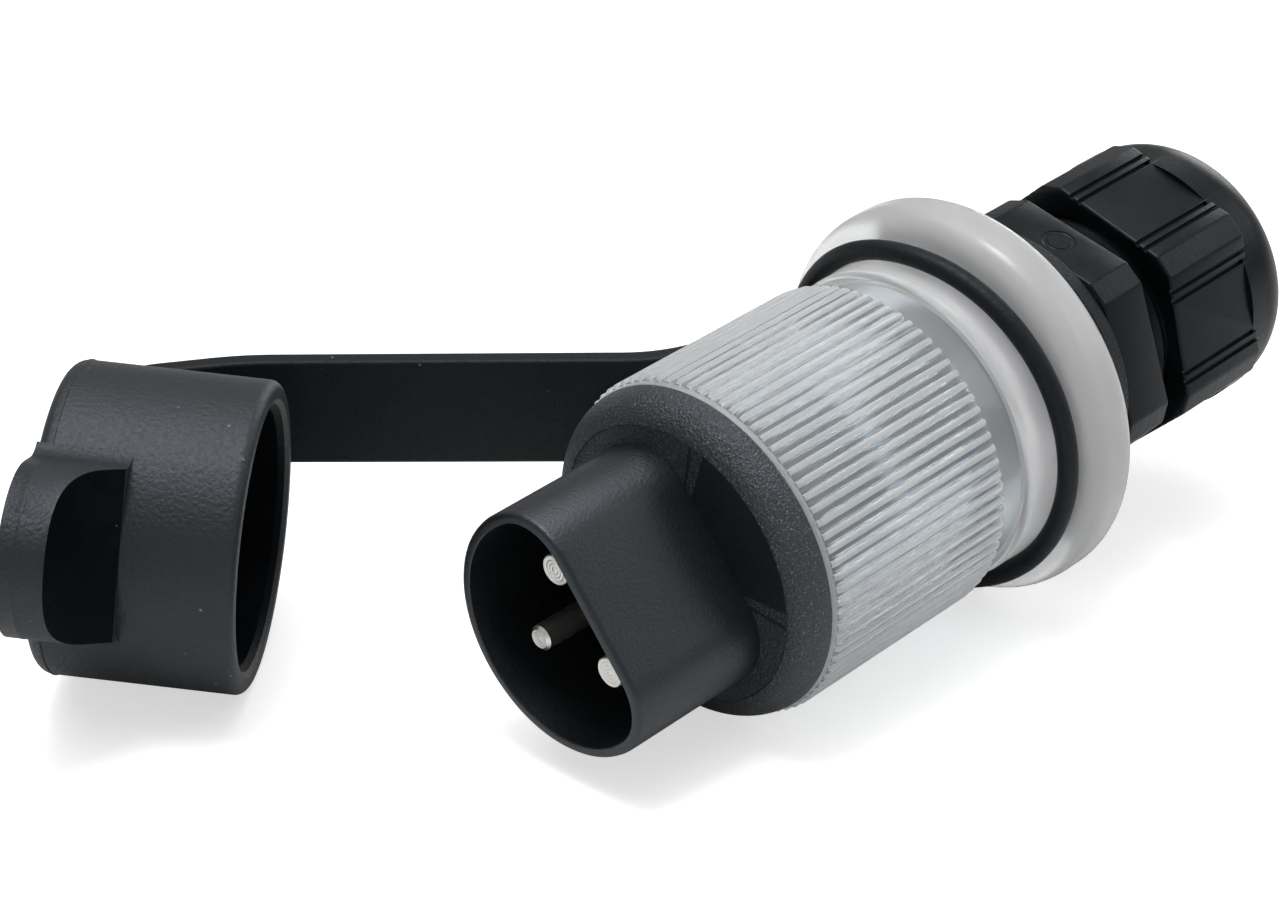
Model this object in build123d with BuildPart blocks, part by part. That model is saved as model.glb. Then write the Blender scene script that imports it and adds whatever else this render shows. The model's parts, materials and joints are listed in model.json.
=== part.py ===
"""Round plug with an indicator lamp: a D-shaped contact nose, a frosted ribbed
housing, a cable gland behind it and a rubber cap on a strap.

The plug lies on the rim of its flange and on the front of its ribs, with the
cap taken off beside it. Stations run along the plug's own axis from the front
face of the housing, positive towards the gland."""

import os
from math import asin, atan2, cos, radians, sin, sqrt, tan

from build123d import *

os.makedirs("parts", exist_ok=True)

# Place of the housing's front in the frame: the footprint is centred on Z
front_x = -9.885
front_y = -18.5215

# Clearances
slip = 0.15
thread_slip = 0.1
pin_slip = 0.05
ring_slip = 0.1

# Housing, a frosted moulding: lip, ribs, neck, land, flange and tail
rib_radius = 15.8
rib_height = 0.65
rib_count = 80
rib_phase = 2.65
rib_top = 0.46
rib_root = 0.84
rib_length = 21.8
rib_bevel = 0.7
lip_height = 0.3
lip_length = 0.6
neck_depth = 0.95
neck_length = 4.0
neck_wall = 1.1
land_height = 0.95
land_length = 4.8
land_edge = 0.6
flange_height = 3.7
flange_width = 5.2
flange_round = 2.4
flange_back_round = 1.2
tail_root_height = 0.5
tail_length = 3.9
tail_draft = 1.6
front_wall = 3.0
thread_length = 9.3
cavity_taper = 3.0

# Contact carrier: base with a bulged rim and D-shaped nose; terminal block: pocket floor and stem
base_setback = 0.1
rim_round = 2.9
recess_depth = 0.2
recess_rim = 0.5
nose_radius = 11.23
nose_flat = 6.3
nose_corner = 5.5
nose_wall = 1.0
nose_reach = 17.1
nose_edge = 0.5
nose_floor = 2.2
nose_roll = 144.0
stem_radius = 9.8
stem_length = 13.4
boss_radius = 1.2

# Ring seal in the stem, under the housing's front wall
seal_section = 0.65
groove_side = 0.05

# Pins and their terminals; offsets are towards the nose's flat
pin_radius = 1.4
pin_spacing = 9.6
pin_offset = 1.05
earth_radius = 1.15
earth_offset = 5.8
earth_chamfer = 0.3
shank_step = 0.3
pin_setback = 2.4
barrel_radius = 2.2
barrel_length = 9.0
wire_bore = 1.2
wire_bore_depth = 7.0
screw_radius = 1.25
screw_depth = 4.2
screw_sink = 0.4
screw_slot = 0.5
screw_slot_depth = 0.7
screw_bite = 0.4

# Indicator circuit on its board
board_radius = 8.6
board_thickness = 1.0
board_hole = 1.9
lamp_offset = 5.4
lamp_radius = 1.5
lamp_collar = 1.8
lamp_collar_height = 1.0
lamp_length = 4.6
part_offset = 3.2
part_spacing = 8.8
part_length = 3.2
part_span = 4.8
part_radius = 0.85
leg_radius = 0.25
leg_bend = 0.55
lead_radius = 0.45
lead_rise = 3.0
lead_span = 2.6
lead_bend = 1.2
lead_depth = 4.0

# Cable gland
thread_radius = 10.0
gasket_radius = 12.9
gasket_thickness = 0.9
collar_radius = 13.35
collar_length = 1.6
hex_flat_radius = 12.5
hex_corner_radius = 13.78
hex_length = 5.6
hex_roll = 134.3
gland_bore = 7.0
seal_shoulder = 1.8
neck_thread_radius = 10.9
neck_thread_length = 11.6
thread_pitch = 1.5
thread_groove = 1.1
thread_depth = 0.6
claw_length = 4.5
claw_radius = 10.2
claw_tip_radius = 9.5
claw_bore = 8.7
claw_count = 8
claw_slot = 1.4
claw_slot_depth = 6.0
grommet_bore = 5.5
grommet_length = 13.4
nut_gap = 3.3
nut_flat_radius = 12.55
nut_corner_radius = 13.83
nut_hex_length = 11.3
nut_roll = 138.6
nut_groove = 0.5
nut_groove_depth = 0.35
nut_groove_inner = 3.55
nut_groove_step = 0.95
dome_radius = 12.95
dome_round = 4.6
dome_length = 6.6
nut_thread_length = 11.3
nut_cone_length = 5.0
nut_mouth = 7.2
nut_mouth_edge = 0.4

# Cap, strap and neck ring, one rubber moulding
cap_slip = 0.12
cap_wall = 2.48
cap_length = 18.0
cap_end_wall = 2.6
cap_edge = 0.9
cap_end_round = 1.3
cap_lead_in = 0.9
flash_width = 0.16
flash_height = 0.08
cap_x = -22.2
cap_y = 31.1
cap_heading = -50.5
cap_droop = 4.62
tab_roll = 17.0
tab_reach = 22.6
tab_half = 7.4
tab_root = 8.3
tab_tip = 4.0
tab_scoop = 1.2
tab_blend_share = 0.285
strap_width = 10.5
strap_thickness = 2.0
strap_edge = 0.4
strap_gap = 0.5
strap_inset = 1.6
strap_turn_x = 16.8
strap_far_x = -9.1
strap_far_y = 49.1
strap_back_x = -18.3
strap_back_y = 56.2
strap_bends = (12.0, 25.0, 4.5)
ring_section = 0.94
ring_station = 29.15
ring_lean = 3.9

# Radii of the housing, each from the one before it
rib_floor = rib_radius - rib_height
lip_radius = rib_floor + lip_height
neck_radius = rib_floor - neck_depth
cavity_radius = neck_radius - neck_wall
land_radius = neck_radius + land_height
flange_radius = land_radius + flange_height
tail_root_radius = land_radius + tail_root_height
tail_radius = tail_root_radius - tail_draft

# Stations of the housing
rib_end = lip_length + rib_length
neck_end = rib_end + neck_length
flange_start = neck_end + land_length
flange_end = flange_start + flange_width
housing_end = flange_end + tail_length
thread_start = housing_end - thread_length
flange_crown = flange_start + flange_round

# Stations of the gland
collar_start = housing_end + gasket_thickness
hex_start = collar_start + collar_length
hex_end = hex_start + hex_length
neck_thread_end = hex_end + neck_thread_length
claw_end = neck_thread_end + claw_length
shoulder_station = hex_end + seal_shoulder
nut_start = hex_end + nut_gap
nut_hex_end = nut_start + nut_hex_length
nut_end = nut_hex_end + dome_length
nut_thread_end = nut_start + nut_thread_length
nut_bore = neck_thread_radius + slip
thread_turns = int(neck_thread_length / thread_pitch)
thread_places = [(hex_end + (turn + 0.5) * thread_pitch, neck_thread_radius) for turn in range(thread_turns)]

# Stations of the carrier, the block and the board, and the shanks that the block holds
base_radius = lip_radius - base_setback
rim_crest = base_radius - rim_round
barrel_start = stem_length - barrel_length
shank_length = barrel_start + nose_floor
contact_length = nose_reach - pin_setback - nose_floor
shank_radius = pin_radius + shank_step
earth_shank_radius = earth_radius + shank_step
board_rear = stem_length + board_thickness
screw_station = stem_length - screw_depth

# The plug lies on the flange's rounded rim and the ribs' front, so its axis rises towards the gland
rest_run = flange_crown - lip_length
rest_drop = rib_radius - (flange_radius - flange_round)
lean = asin(flange_round / sqrt(rest_run**2 + rest_drop**2)) - atan2(rest_drop, rest_run)
front_height = rib_radius * cos(lean) - lip_length * sin(lean)
axis_dir = Vector(cos(lean), 0, sin(lean))
side_dir = Vector(0, 1, 0)
rise_dir = Vector(-sin(lean), 0, cos(lean))
front = Vector(front_x, front_y, front_height)
plug_axis = Axis(front, axis_dir)
along = Plane(origin=front, x_dir=axis_dir, z_dir=-side_dir)


def toward(roll):
    """Direction square to the plug's axis, rolled from the +Y side upwards."""
    return side_dir * cos(radians(roll)) + rise_dir * sin(radians(roll))


def across(station, roll=0.0):
    """Plane square to the plug's axis, with its local X along the roll."""
    return Plane(origin=front + axis_dir * station, x_dir=toward(roll), z_dir=axis_dir)


flat_dir = toward(nose_roll)
row_dir = axis_dir.cross(flat_dir)
line_place = (pin_offset, pin_spacing / 2)
neutral_place = (pin_offset, -pin_spacing / 2)
earth_place = (-earth_offset, 0)
pin_places = (line_place, neutral_place, earth_place)
screw_middle = front + axis_dir * screw_station
line_screw_plane = Plane(origin=screw_middle + flat_dir * pin_offset, x_dir=axis_dir, z_dir=row_dir)
neutral_screw_plane = Plane(origin=screw_middle + flat_dir * pin_offset, x_dir=axis_dir, z_dir=-row_dir)
earth_screw_plane = Plane(origin=screw_middle, x_dir=axis_dir, z_dir=-flat_dir)

# Where the screws start, at the wire bore, and where they end, under the stem's skin
power_skin = sqrt(stem_radius**2 - pin_offset**2)
power_tip = pin_spacing / 2 + wire_bore - screw_bite
power_screw = power_skin - screw_sink - power_tip
earth_tip = earth_offset + wire_bore - screw_bite
earth_screw = stem_radius - screw_sink - earth_tip

# Contact carrier: base and open D-shaped nose, a dark moulding that the terminal block enters from behind
with BuildPart() as contact_carrier:
    with BuildSketch(along):
        with BuildLine():
            Polyline((-rim_round, rim_crest), (-rim_round, 0), (0, 0), (0, base_radius))
            CenterArc((0, rim_crest), rim_round, 90, 90)
        make_face()
    revolve(axis=plug_axis)
    # Shallow recess in the base's face, round the nose
    with BuildSketch(across(-rim_round)):
        Circle(rim_crest + recess_rim)
    extrude(amount=recess_depth, mode=Mode.SUBTRACT)
    # D-shaped nose, its mouth edge bevelled
    with BuildSketch(across(0, nose_roll)) as nose_outline:
        Circle(nose_radius)
        with Locations((nose_flat + nose_radius, 0)):
            Rectangle(2 * nose_radius, 2 * nose_radius, mode=Mode.SUBTRACT)
        fillet(nose_outline.vertices(), nose_corner)
    extrude(amount=-nose_reach)
    chamfer(contact_carrier.faces().sort_by(plug_axis)[0].edges(), nose_edge)
    with BuildSketch(across(-nose_reach, nose_roll)) as nose_pocket:
        Circle(nose_radius - nose_wall)
        with Locations((nose_flat - nose_wall + nose_radius, 0)):
            Rectangle(2 * nose_radius, 2 * nose_radius, mode=Mode.SUBTRACT)
        fillet(nose_pocket.vertices(), nose_corner - nose_wall)
    extrude(amount=nose_reach, mode=Mode.SUBTRACT)

# Terminal block: D-shaped floor of the nose's pocket, round stem behind it, board boss
with BuildPart() as terminal_block:
    with BuildSketch(across(0, nose_roll)) as block_outline:
        Circle(nose_radius - nose_wall - slip)
        with Locations((nose_flat - nose_wall - slip + nose_radius, 0)):
            Rectangle(2 * nose_radius, 2 * nose_radius, mode=Mode.SUBTRACT)
        fillet(block_outline.vertices(), nose_corner - nose_wall - slip)
    extrude(amount=-nose_floor)
    with BuildSketch(across(0)):
        Circle(stem_radius)
    extrude(amount=stem_length)
    # Seats of the pins and of their terminal barrels
    with BuildSketch(across(-nose_floor, nose_roll)):
        with Locations(line_place, neutral_place):
            Circle(shank_radius + pin_slip)
        with Locations(earth_place):
            Circle(earth_shank_radius + pin_slip)
    extrude(amount=shank_length, mode=Mode.SUBTRACT)
    with BuildSketch(across(stem_length, nose_roll)):
        with Locations(*pin_places):
            Circle(barrel_radius + pin_slip)
    extrude(amount=-barrel_length, mode=Mode.SUBTRACT)
    # Terminal screws enter through the stem's side
    with BuildSketch(line_screw_plane.offset(pin_spacing / 2)):
        Circle(screw_radius + slip)
    extrude(amount=stem_radius, mode=Mode.SUBTRACT)
    with BuildSketch(neutral_screw_plane.offset(pin_spacing / 2)):
        Circle(screw_radius + slip)
    extrude(amount=stem_radius, mode=Mode.SUBTRACT)
    with BuildSketch(earth_screw_plane.offset(earth_offset)):
        Circle(screw_radius + slip)
    extrude(amount=stem_radius, mode=Mode.SUBTRACT)
    # Groove of the ring seal
    with BuildSketch(along):
        with Locations((front_wall / 2, stem_radius - seal_section)):
            Rectangle(2 * (seal_section + groove_side), 2 * seal_section)
    revolve(axis=plug_axis, mode=Mode.SUBTRACT)
    with BuildSketch(across(stem_length)):
        Circle(boss_radius)
    extrude(amount=board_thickness)

with BuildPart() as carrier_seal:
    with BuildSketch(along):
        with Locations((front_wall / 2, stem_radius - seal_section)):
            Circle(seal_section)
    revolve(axis=plug_axis)

# Pins: contact ahead, shank in the terminal block, terminal barrel behind with a wire bore and a screw hole
with BuildPart() as line_pin:
    with BuildSketch(across(pin_setback - nose_reach, nose_roll)):
        with Locations(line_place):
            Circle(pin_radius)
    extrude(amount=contact_length)
    with BuildSketch(across(-nose_floor, nose_roll)):
        with Locations(line_place):
            Circle(shank_radius)
    extrude(amount=shank_length)
    with BuildSketch(across(barrel_start, nose_roll)):
        with Locations(line_place):
            Circle(barrel_radius)
    extrude(amount=barrel_length)
    with BuildSketch(across(stem_length, nose_roll)):
        with Locations(line_place):
            Circle(wire_bore)
    extrude(amount=-wire_bore_depth, mode=Mode.SUBTRACT)
    with BuildSketch(line_screw_plane.offset(pin_spacing / 2)):
        Circle(screw_radius + pin_slip)
    extrude(amount=2 * barrel_radius, mode=Mode.SUBTRACT)

with BuildPart() as neutral_pin:
    with BuildSketch(across(pin_setback - nose_reach, nose_roll)):
        with Locations(neutral_place):
            Circle(pin_radius)
    extrude(amount=contact_length)
    with BuildSketch(across(-nose_floor, nose_roll)):
        with Locations(neutral_place):
            Circle(shank_radius)
    extrude(amount=shank_length)
    with BuildSketch(across(barrel_start, nose_roll)):
        with Locations(neutral_place):
            Circle(barrel_radius)
    extrude(amount=barrel_length)
    with BuildSketch(across(stem_length, nose_roll)):
        with Locations(neutral_place):
            Circle(wire_bore)
    extrude(amount=-wire_bore_depth, mode=Mode.SUBTRACT)
    with BuildSketch(neutral_screw_plane.offset(pin_spacing / 2)):
        Circle(screw_radius + pin_slip)
    extrude(amount=2 * barrel_radius, mode=Mode.SUBTRACT)

with BuildPart() as earth_pin:
    with BuildSketch(across(pin_setback - nose_reach, nose_roll)):
        with Locations(earth_place):
            Circle(earth_radius)
    extrude(amount=contact_length)
    chamfer(earth_pin.faces().sort_by(plug_axis)[0].edges(), earth_chamfer)
    with BuildSketch(across(-nose_floor, nose_roll)):
        with Locations(earth_place):
            Circle(earth_shank_radius)
    extrude(amount=shank_length)
    with BuildSketch(across(barrel_start, nose_roll)):
        with Locations(earth_place):
            Circle(barrel_radius)
    extrude(amount=barrel_length)
    with BuildSketch(across(stem_length, nose_roll)):
        with Locations(earth_place):
            Circle(wire_bore)
    extrude(amount=-wire_bore_depth, mode=Mode.SUBTRACT)
    with BuildSketch(earth_screw_plane.offset(earth_offset)):
        Circle(screw_radius + pin_slip)
    extrude(amount=2 * barrel_radius, mode=Mode.SUBTRACT)

# Terminal screws: slotted grub screws that reach into the wire bores
with BuildPart() as line_screw:
    with BuildSketch(line_screw_plane.offset(power_tip)):
        Circle(screw_radius)
    extrude(amount=power_screw)
    with BuildSketch(line_screw_plane.offset(power_tip + power_screw)):
        Rectangle(screw_slot, 2 * screw_radius)
    extrude(amount=-screw_slot_depth, mode=Mode.SUBTRACT)

with BuildPart() as neutral_screw:
    with BuildSketch(neutral_screw_plane.offset(power_tip)):
        Circle(screw_radius)
    extrude(amount=power_screw)
    with BuildSketch(neutral_screw_plane.offset(power_tip + power_screw)):
        Rectangle(screw_slot, 2 * screw_radius)
    extrude(amount=-screw_slot_depth, mode=Mode.SUBTRACT)

with BuildPart() as earth_screw_piece:
    with BuildSketch(earth_screw_plane.offset(earth_tip)):
        Circle(screw_radius)
    extrude(amount=earth_screw)
    with BuildSketch(earth_screw_plane.offset(earth_tip + earth_screw)):
        Rectangle(screw_slot, 2 * screw_radius)
    extrude(amount=-screw_slot_depth, mode=Mode.SUBTRACT)

# Housing: turned outline with a ring of ribs round the grip
with BuildPart() as housing:
    with BuildSketch(along):
        with BuildLine():
            Polyline((lip_length, cavity_radius + neck_wall), (lip_length, lip_radius), (0, lip_radius),
                     (0, stem_radius + slip), (front_wall, stem_radius + slip), (front_wall, cavity_radius),
                     (thread_start - cavity_taper, cavity_radius), (thread_start, thread_radius),
                     (housing_end, thread_radius), (housing_end, tail_radius), (flange_end, tail_root_radius),
                     (flange_end, flange_radius - flange_back_round))
            CenterArc((flange_end - flange_back_round, flange_radius - flange_back_round),
                      flange_back_round, 0, 90)
            Line((flange_end - flange_back_round, flange_radius), (flange_crown, flange_radius))
            CenterArc((flange_crown, flange_radius - flange_round), flange_round, 90, 90)
            Polyline((flange_start, flange_radius - flange_round), (flange_start, land_radius),
                     (neck_end + land_edge, land_radius))
            CenterArc((neck_end + land_edge, land_radius - land_edge), land_edge, 90, 90)
            Polyline((neck_end, land_radius - land_edge), (neck_end, neck_radius),
                     (lip_length, cavity_radius + neck_wall))
        make_face()
    revolve(axis=plug_axis)
    with BuildSketch(across(lip_length, rib_phase)):
        Circle(rib_floor)
        with PolarLocations(rib_floor, rib_count):
            Polygon((-rib_height, rib_root / 2), (-rib_height, -rib_root / 2), (rib_height, -rib_top / 2),
                    (rib_height, rib_top / 2), align=None)
        Circle(cavity_radius + neck_wall / 2, mode=Mode.SUBTRACT)
    extrude(amount=rib_length)
    # Rear ends of the ribs slope down to the groove floor
    with BuildSketch(along):
        with BuildLine():
            Polyline((rib_end, rib_floor), (rib_end, rib_radius + rib_height),
                     (rib_end - rib_bevel, rib_radius + rib_height), (rib_end - rib_bevel, rib_radius),
                     (rib_end, rib_floor))
        make_face()
    revolve(axis=plug_axis, mode=Mode.SUBTRACT)

# Indicator circuit: board on the stem's end, lamp, dropping resistor, diode and two leads
with BuildPart() as led_board:
    with BuildSketch(across(stem_length, nose_roll)):
        Circle(board_radius)
        Circle(boss_radius + slip, mode=Mode.SUBTRACT)
        with Locations(*pin_places):
            Circle(board_hole, mode=Mode.SUBTRACT)
    extrude(amount=board_thickness)

with BuildPart() as led_lamp:
    with BuildSketch(across(board_rear, nose_roll)):
        with Locations((lamp_offset, 0)):
            Circle(lamp_collar)
    extrude(amount=lamp_collar_height)
    with BuildSketch(across(board_rear + lamp_collar_height, nose_roll)):
        with Locations((lamp_offset, 0)):
            Circle(lamp_radius)
    extrude(amount=lamp_length - lamp_collar_height)
    fillet(led_lamp.faces().sort_by(plug_axis)[-1].edges(), lamp_radius - pin_slip)


def on_board(away, beside, height):
    """Point over the board, by its offsets from the axis and its height above the board."""
    return front + axis_dir * (board_rear + height) + flat_dir * away + row_dir * beside


with BuildPart() as series_resistor:
    with BuildLine() as resistor_legs:
        FilletPolyline(on_board(-part_offset - part_span / 2, part_spacing / 2, 0),
                       on_board(-part_offset - part_span / 2, part_spacing / 2, part_radius),
                       on_board(-part_offset + part_span / 2, part_spacing / 2, part_radius),
                       on_board(-part_offset + part_span / 2, part_spacing / 2, 0), radius=leg_bend)
    with BuildSketch(Plane(origin=resistor_legs.line @ 0, z_dir=resistor_legs.line % 0)):
        Circle(leg_radius)
    sweep(path=resistor_legs.line)
    with BuildSketch(Plane(origin=on_board(-part_offset - part_length / 2, part_spacing / 2, part_radius),
                           z_dir=flat_dir)):
        Circle(part_radius)
    extrude(amount=part_length)

with BuildPart() as led_diode:
    with BuildLine() as diode_legs:
        FilletPolyline(on_board(-part_offset - part_span / 2, -part_spacing / 2, 0),
                       on_board(-part_offset - part_span / 2, -part_spacing / 2, part_radius),
                       on_board(-part_offset + part_span / 2, -part_spacing / 2, part_radius),
                       on_board(-part_offset + part_span / 2, -part_spacing / 2, 0), radius=leg_bend)
    with BuildSketch(Plane(origin=diode_legs.line @ 0, z_dir=diode_legs.line % 0)):
        Circle(leg_radius)
    sweep(path=diode_legs.line)
    with BuildSketch(Plane(origin=on_board(-part_offset - part_length / 2, -part_spacing / 2, part_radius),
                           z_dir=flat_dir)):
        Circle(part_radius)
    extrude(amount=part_length)

# Leads: from the board over into the wire bores, where the screws grip them
with BuildPart() as led_lead_line:
    with BuildLine() as line_route:
        FilletPolyline(on_board(pin_offset + lead_span, pin_spacing / 2, 0),
                       on_board(pin_offset + lead_span, pin_spacing / 2, lead_rise),
                       on_board(pin_offset, pin_spacing / 2, lead_rise),
                       on_board(pin_offset, pin_spacing / 2, -board_thickness - lead_depth), radius=lead_bend)
    with BuildSketch(Plane(origin=line_route.line @ 0, z_dir=line_route.line % 0)):
        Circle(lead_radius)
    sweep(path=line_route.line)

with BuildPart() as led_lead_neutral:
    with BuildLine() as neutral_route:
        FilletPolyline(on_board(pin_offset + lead_span, -pin_spacing / 2, 0),
                       on_board(pin_offset + lead_span, -pin_spacing / 2, lead_rise),
                       on_board(pin_offset, -pin_spacing / 2, lead_rise),
                       on_board(pin_offset, -pin_spacing / 2, -board_thickness - lead_depth), radius=lead_bend)
    with BuildSketch(Plane(origin=neutral_route.line @ 0, z_dir=neutral_route.line % 0)):
        Circle(lead_radius)
    sweep(path=neutral_route.line)

# Gland: gasket, body with clamping claws, grommet and dome nut
with BuildPart() as gland_gasket:
    with BuildSketch(across(housing_end)):
        Circle(gasket_radius)
        Circle(thread_radius, mode=Mode.SUBTRACT)
    extrude(amount=gasket_thickness)

with BuildPart() as gland_body:
    with BuildSketch(along):
        with BuildLine():
            Polyline((thread_start, gland_bore), (thread_start, thread_radius - thread_slip),
                     (collar_start, thread_radius - thread_slip), (collar_start, collar_radius),
                     (hex_start, collar_radius), (hex_start, neck_thread_radius),
                     (neck_thread_end, neck_thread_radius), (neck_thread_end, claw_radius),
                     (claw_end, claw_tip_radius), (claw_end, claw_bore), (shoulder_station, claw_bore),
                     (shoulder_station, gland_bore), (thread_start, gland_bore))
        make_face()
    revolve(axis=plug_axis)
    # Thread of the nut, as grooves at its pitch
    with BuildSketch(along):
        with Locations(*thread_places):
            Polygon((-thread_groove / 2, 0), (-thread_groove / 2, thread_depth), (thread_groove / 2, thread_depth),
                    (thread_groove / 2, 0), (0, -thread_depth), align=None)
    revolve(axis=plug_axis, mode=Mode.SUBTRACT)
    # Spanner hexagon with its corners cut to facets
    with BuildSketch(across(hex_start, hex_roll)):
        RegularPolygon(hex_flat_radius, 6, major_radius=False)
        RegularPolygon(hex_corner_radius, 6, major_radius=False, rotation=30, mode=Mode.INTERSECT)
        Circle(gland_bore + seal_shoulder, mode=Mode.SUBTRACT)
    extrude(amount=hex_length)
    with BuildSketch(across(claw_end)):
        with PolarLocations((claw_bore + claw_radius) / 2, claw_count):
            Rectangle(2 * (claw_radius - claw_bore), claw_slot)
    extrude(amount=-claw_slot_depth, mode=Mode.SUBTRACT)

with BuildPart() as gland_grommet:
    with BuildSketch(across(shoulder_station)):
        Circle(claw_bore - thread_slip)
        Circle(grommet_bore, mode=Mode.SUBTRACT)
    extrude(amount=grommet_length)

with BuildPart() as gland_nut:
    with BuildSketch(across(nut_start, nut_roll)):
        RegularPolygon(nut_flat_radius, 6, major_radius=False)
        RegularPolygon(nut_corner_radius, 6, major_radius=False, rotation=30, mode=Mode.INTERSECT)
        with PolarLocations(nut_flat_radius, 6, start_angle=30):
            with Locations((0, -nut_groove_inner - nut_groove_step), (0, -nut_groove_inner),
                           (0, nut_groove_inner), (0, nut_groove_inner + nut_groove_step)):
                Rectangle(2 * nut_groove_depth, nut_groove, mode=Mode.SUBTRACT)
    extrude(amount=nut_hex_length)
    with BuildSketch(along):
        with BuildLine():
            Polyline((nut_end, dome_radius - dome_round), (nut_end, 0), (nut_hex_end, 0),
                     (nut_hex_end, dome_radius), (nut_end - dome_round, dome_radius))
            CenterArc((nut_end - dome_round, dome_radius - dome_round), dome_round, 0, 90)
        make_face()
    revolve(axis=plug_axis)
    # Threaded bore, clamping cone and cable mouth
    with BuildSketch(along):
        with BuildLine():
            Polyline((nut_start, 0), (nut_start, nut_bore), (nut_thread_end, nut_bore),
                     (nut_thread_end + nut_cone_length, nut_mouth), (nut_end - nut_mouth_edge, nut_mouth),
                     (nut_end, nut_mouth + nut_mouth_edge), (nut_end, 0), (nut_start, 0))
        make_face()
    revolve(axis=plug_axis, mode=Mode.SUBTRACT)

# The cap lies on its mouth's edge and hangs a little from the strap behind
cap_bore = nose_radius + cap_slip
cap_radius = cap_bore + cap_wall
flash_start = cap_length - cap_end_round - flash_width
heading = radians(cap_heading)
droop = radians(cap_droop)
cap_out = Vector(cos(droop) * cos(heading), cos(droop) * sin(heading), -sin(droop))
cap_up = Vector(sin(droop) * cos(heading), sin(droop) * sin(heading), cos(droop))
cap_near = cap_out.cross(cap_up)
cap_height = (cap_radius - cap_edge) * cos(droop) + cap_edge - cap_edge * sin(droop)
cap_mouth = Vector(front_x + cap_x, front_y + cap_y, cap_height)
cap_end = cap_mouth - cap_out * cap_length
cap_axis = Axis(cap_mouth, cap_out)
cap_along = Plane(origin=cap_mouth, x_dir=-cap_out, z_dir=-cap_near)
tab_dir = cap_near * cos(radians(tab_roll)) + cap_up * sin(radians(tab_roll))
tab_face = Plane(origin=cap_end, x_dir=tab_dir, z_dir=cap_out)
tab_section = Plane(origin=cap_end, x_dir=cap_out, z_dir=cap_out.cross(tab_dir))
scoop_run = tab_root - tab_tip
scoop_drop = tab_reach - cap_radius
tab_blend = scoop_drop * tab_blend_share
scoop_chord = sqrt(scoop_run**2 + scoop_drop**2)
scoop_middle = ((tab_tip + tab_root) / 2 - tab_scoop * scoop_drop / scoop_chord,
                (tab_reach + cap_radius) / 2 - tab_scoop * scoop_run / scoop_chord)

# The neck ring leans on the land, its far side drawn forward by the strap
ring_radius = land_radius + ring_slip + ring_section
ring_middle = front + axis_dir * ring_station
ring_dir = (axis_dir + side_dir * tan(radians(ring_lean))).normalized()
ring_plane = Plane(origin=ring_middle, x_dir=rise_dir, z_dir=rise_dir.cross(ring_dir))
ring_far = ring_middle + side_dir * ring_radius - axis_dir * (ring_radius * tan(radians(ring_lean)))

# Route of the strap: beside the ribs, across to the back of the cap and round into its end
strap_start = Vector(ring_far.X + ring_section, front_y + rib_radius + strap_gap + strap_thickness / 2,
                     ring_middle.Z)
strap_root = cap_end + cap_out * strap_inset - cap_near * (cap_radius - cap_wall / 2)
strap_run = Vector(strap_root.X - strap_start.X, strap_root.Y - strap_start.Y, 0)
strap_slope = (strap_root.Z - strap_start.Z) / strap_run.length**2


def strap_point(plan_x, plan_y):
    """Point of the strap's middle line, on its gentle slope from the ring to the cap."""
    step = Vector(plan_x - strap_start.X, plan_y - strap_start.Y, 0)
    return strap_start + step + Vector(0, 0, strap_slope * step.dot(strap_run))


strap_normal = Vector(-strap_slope * strap_run.X, -strap_slope * strap_run.Y, 1).normalized()

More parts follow.
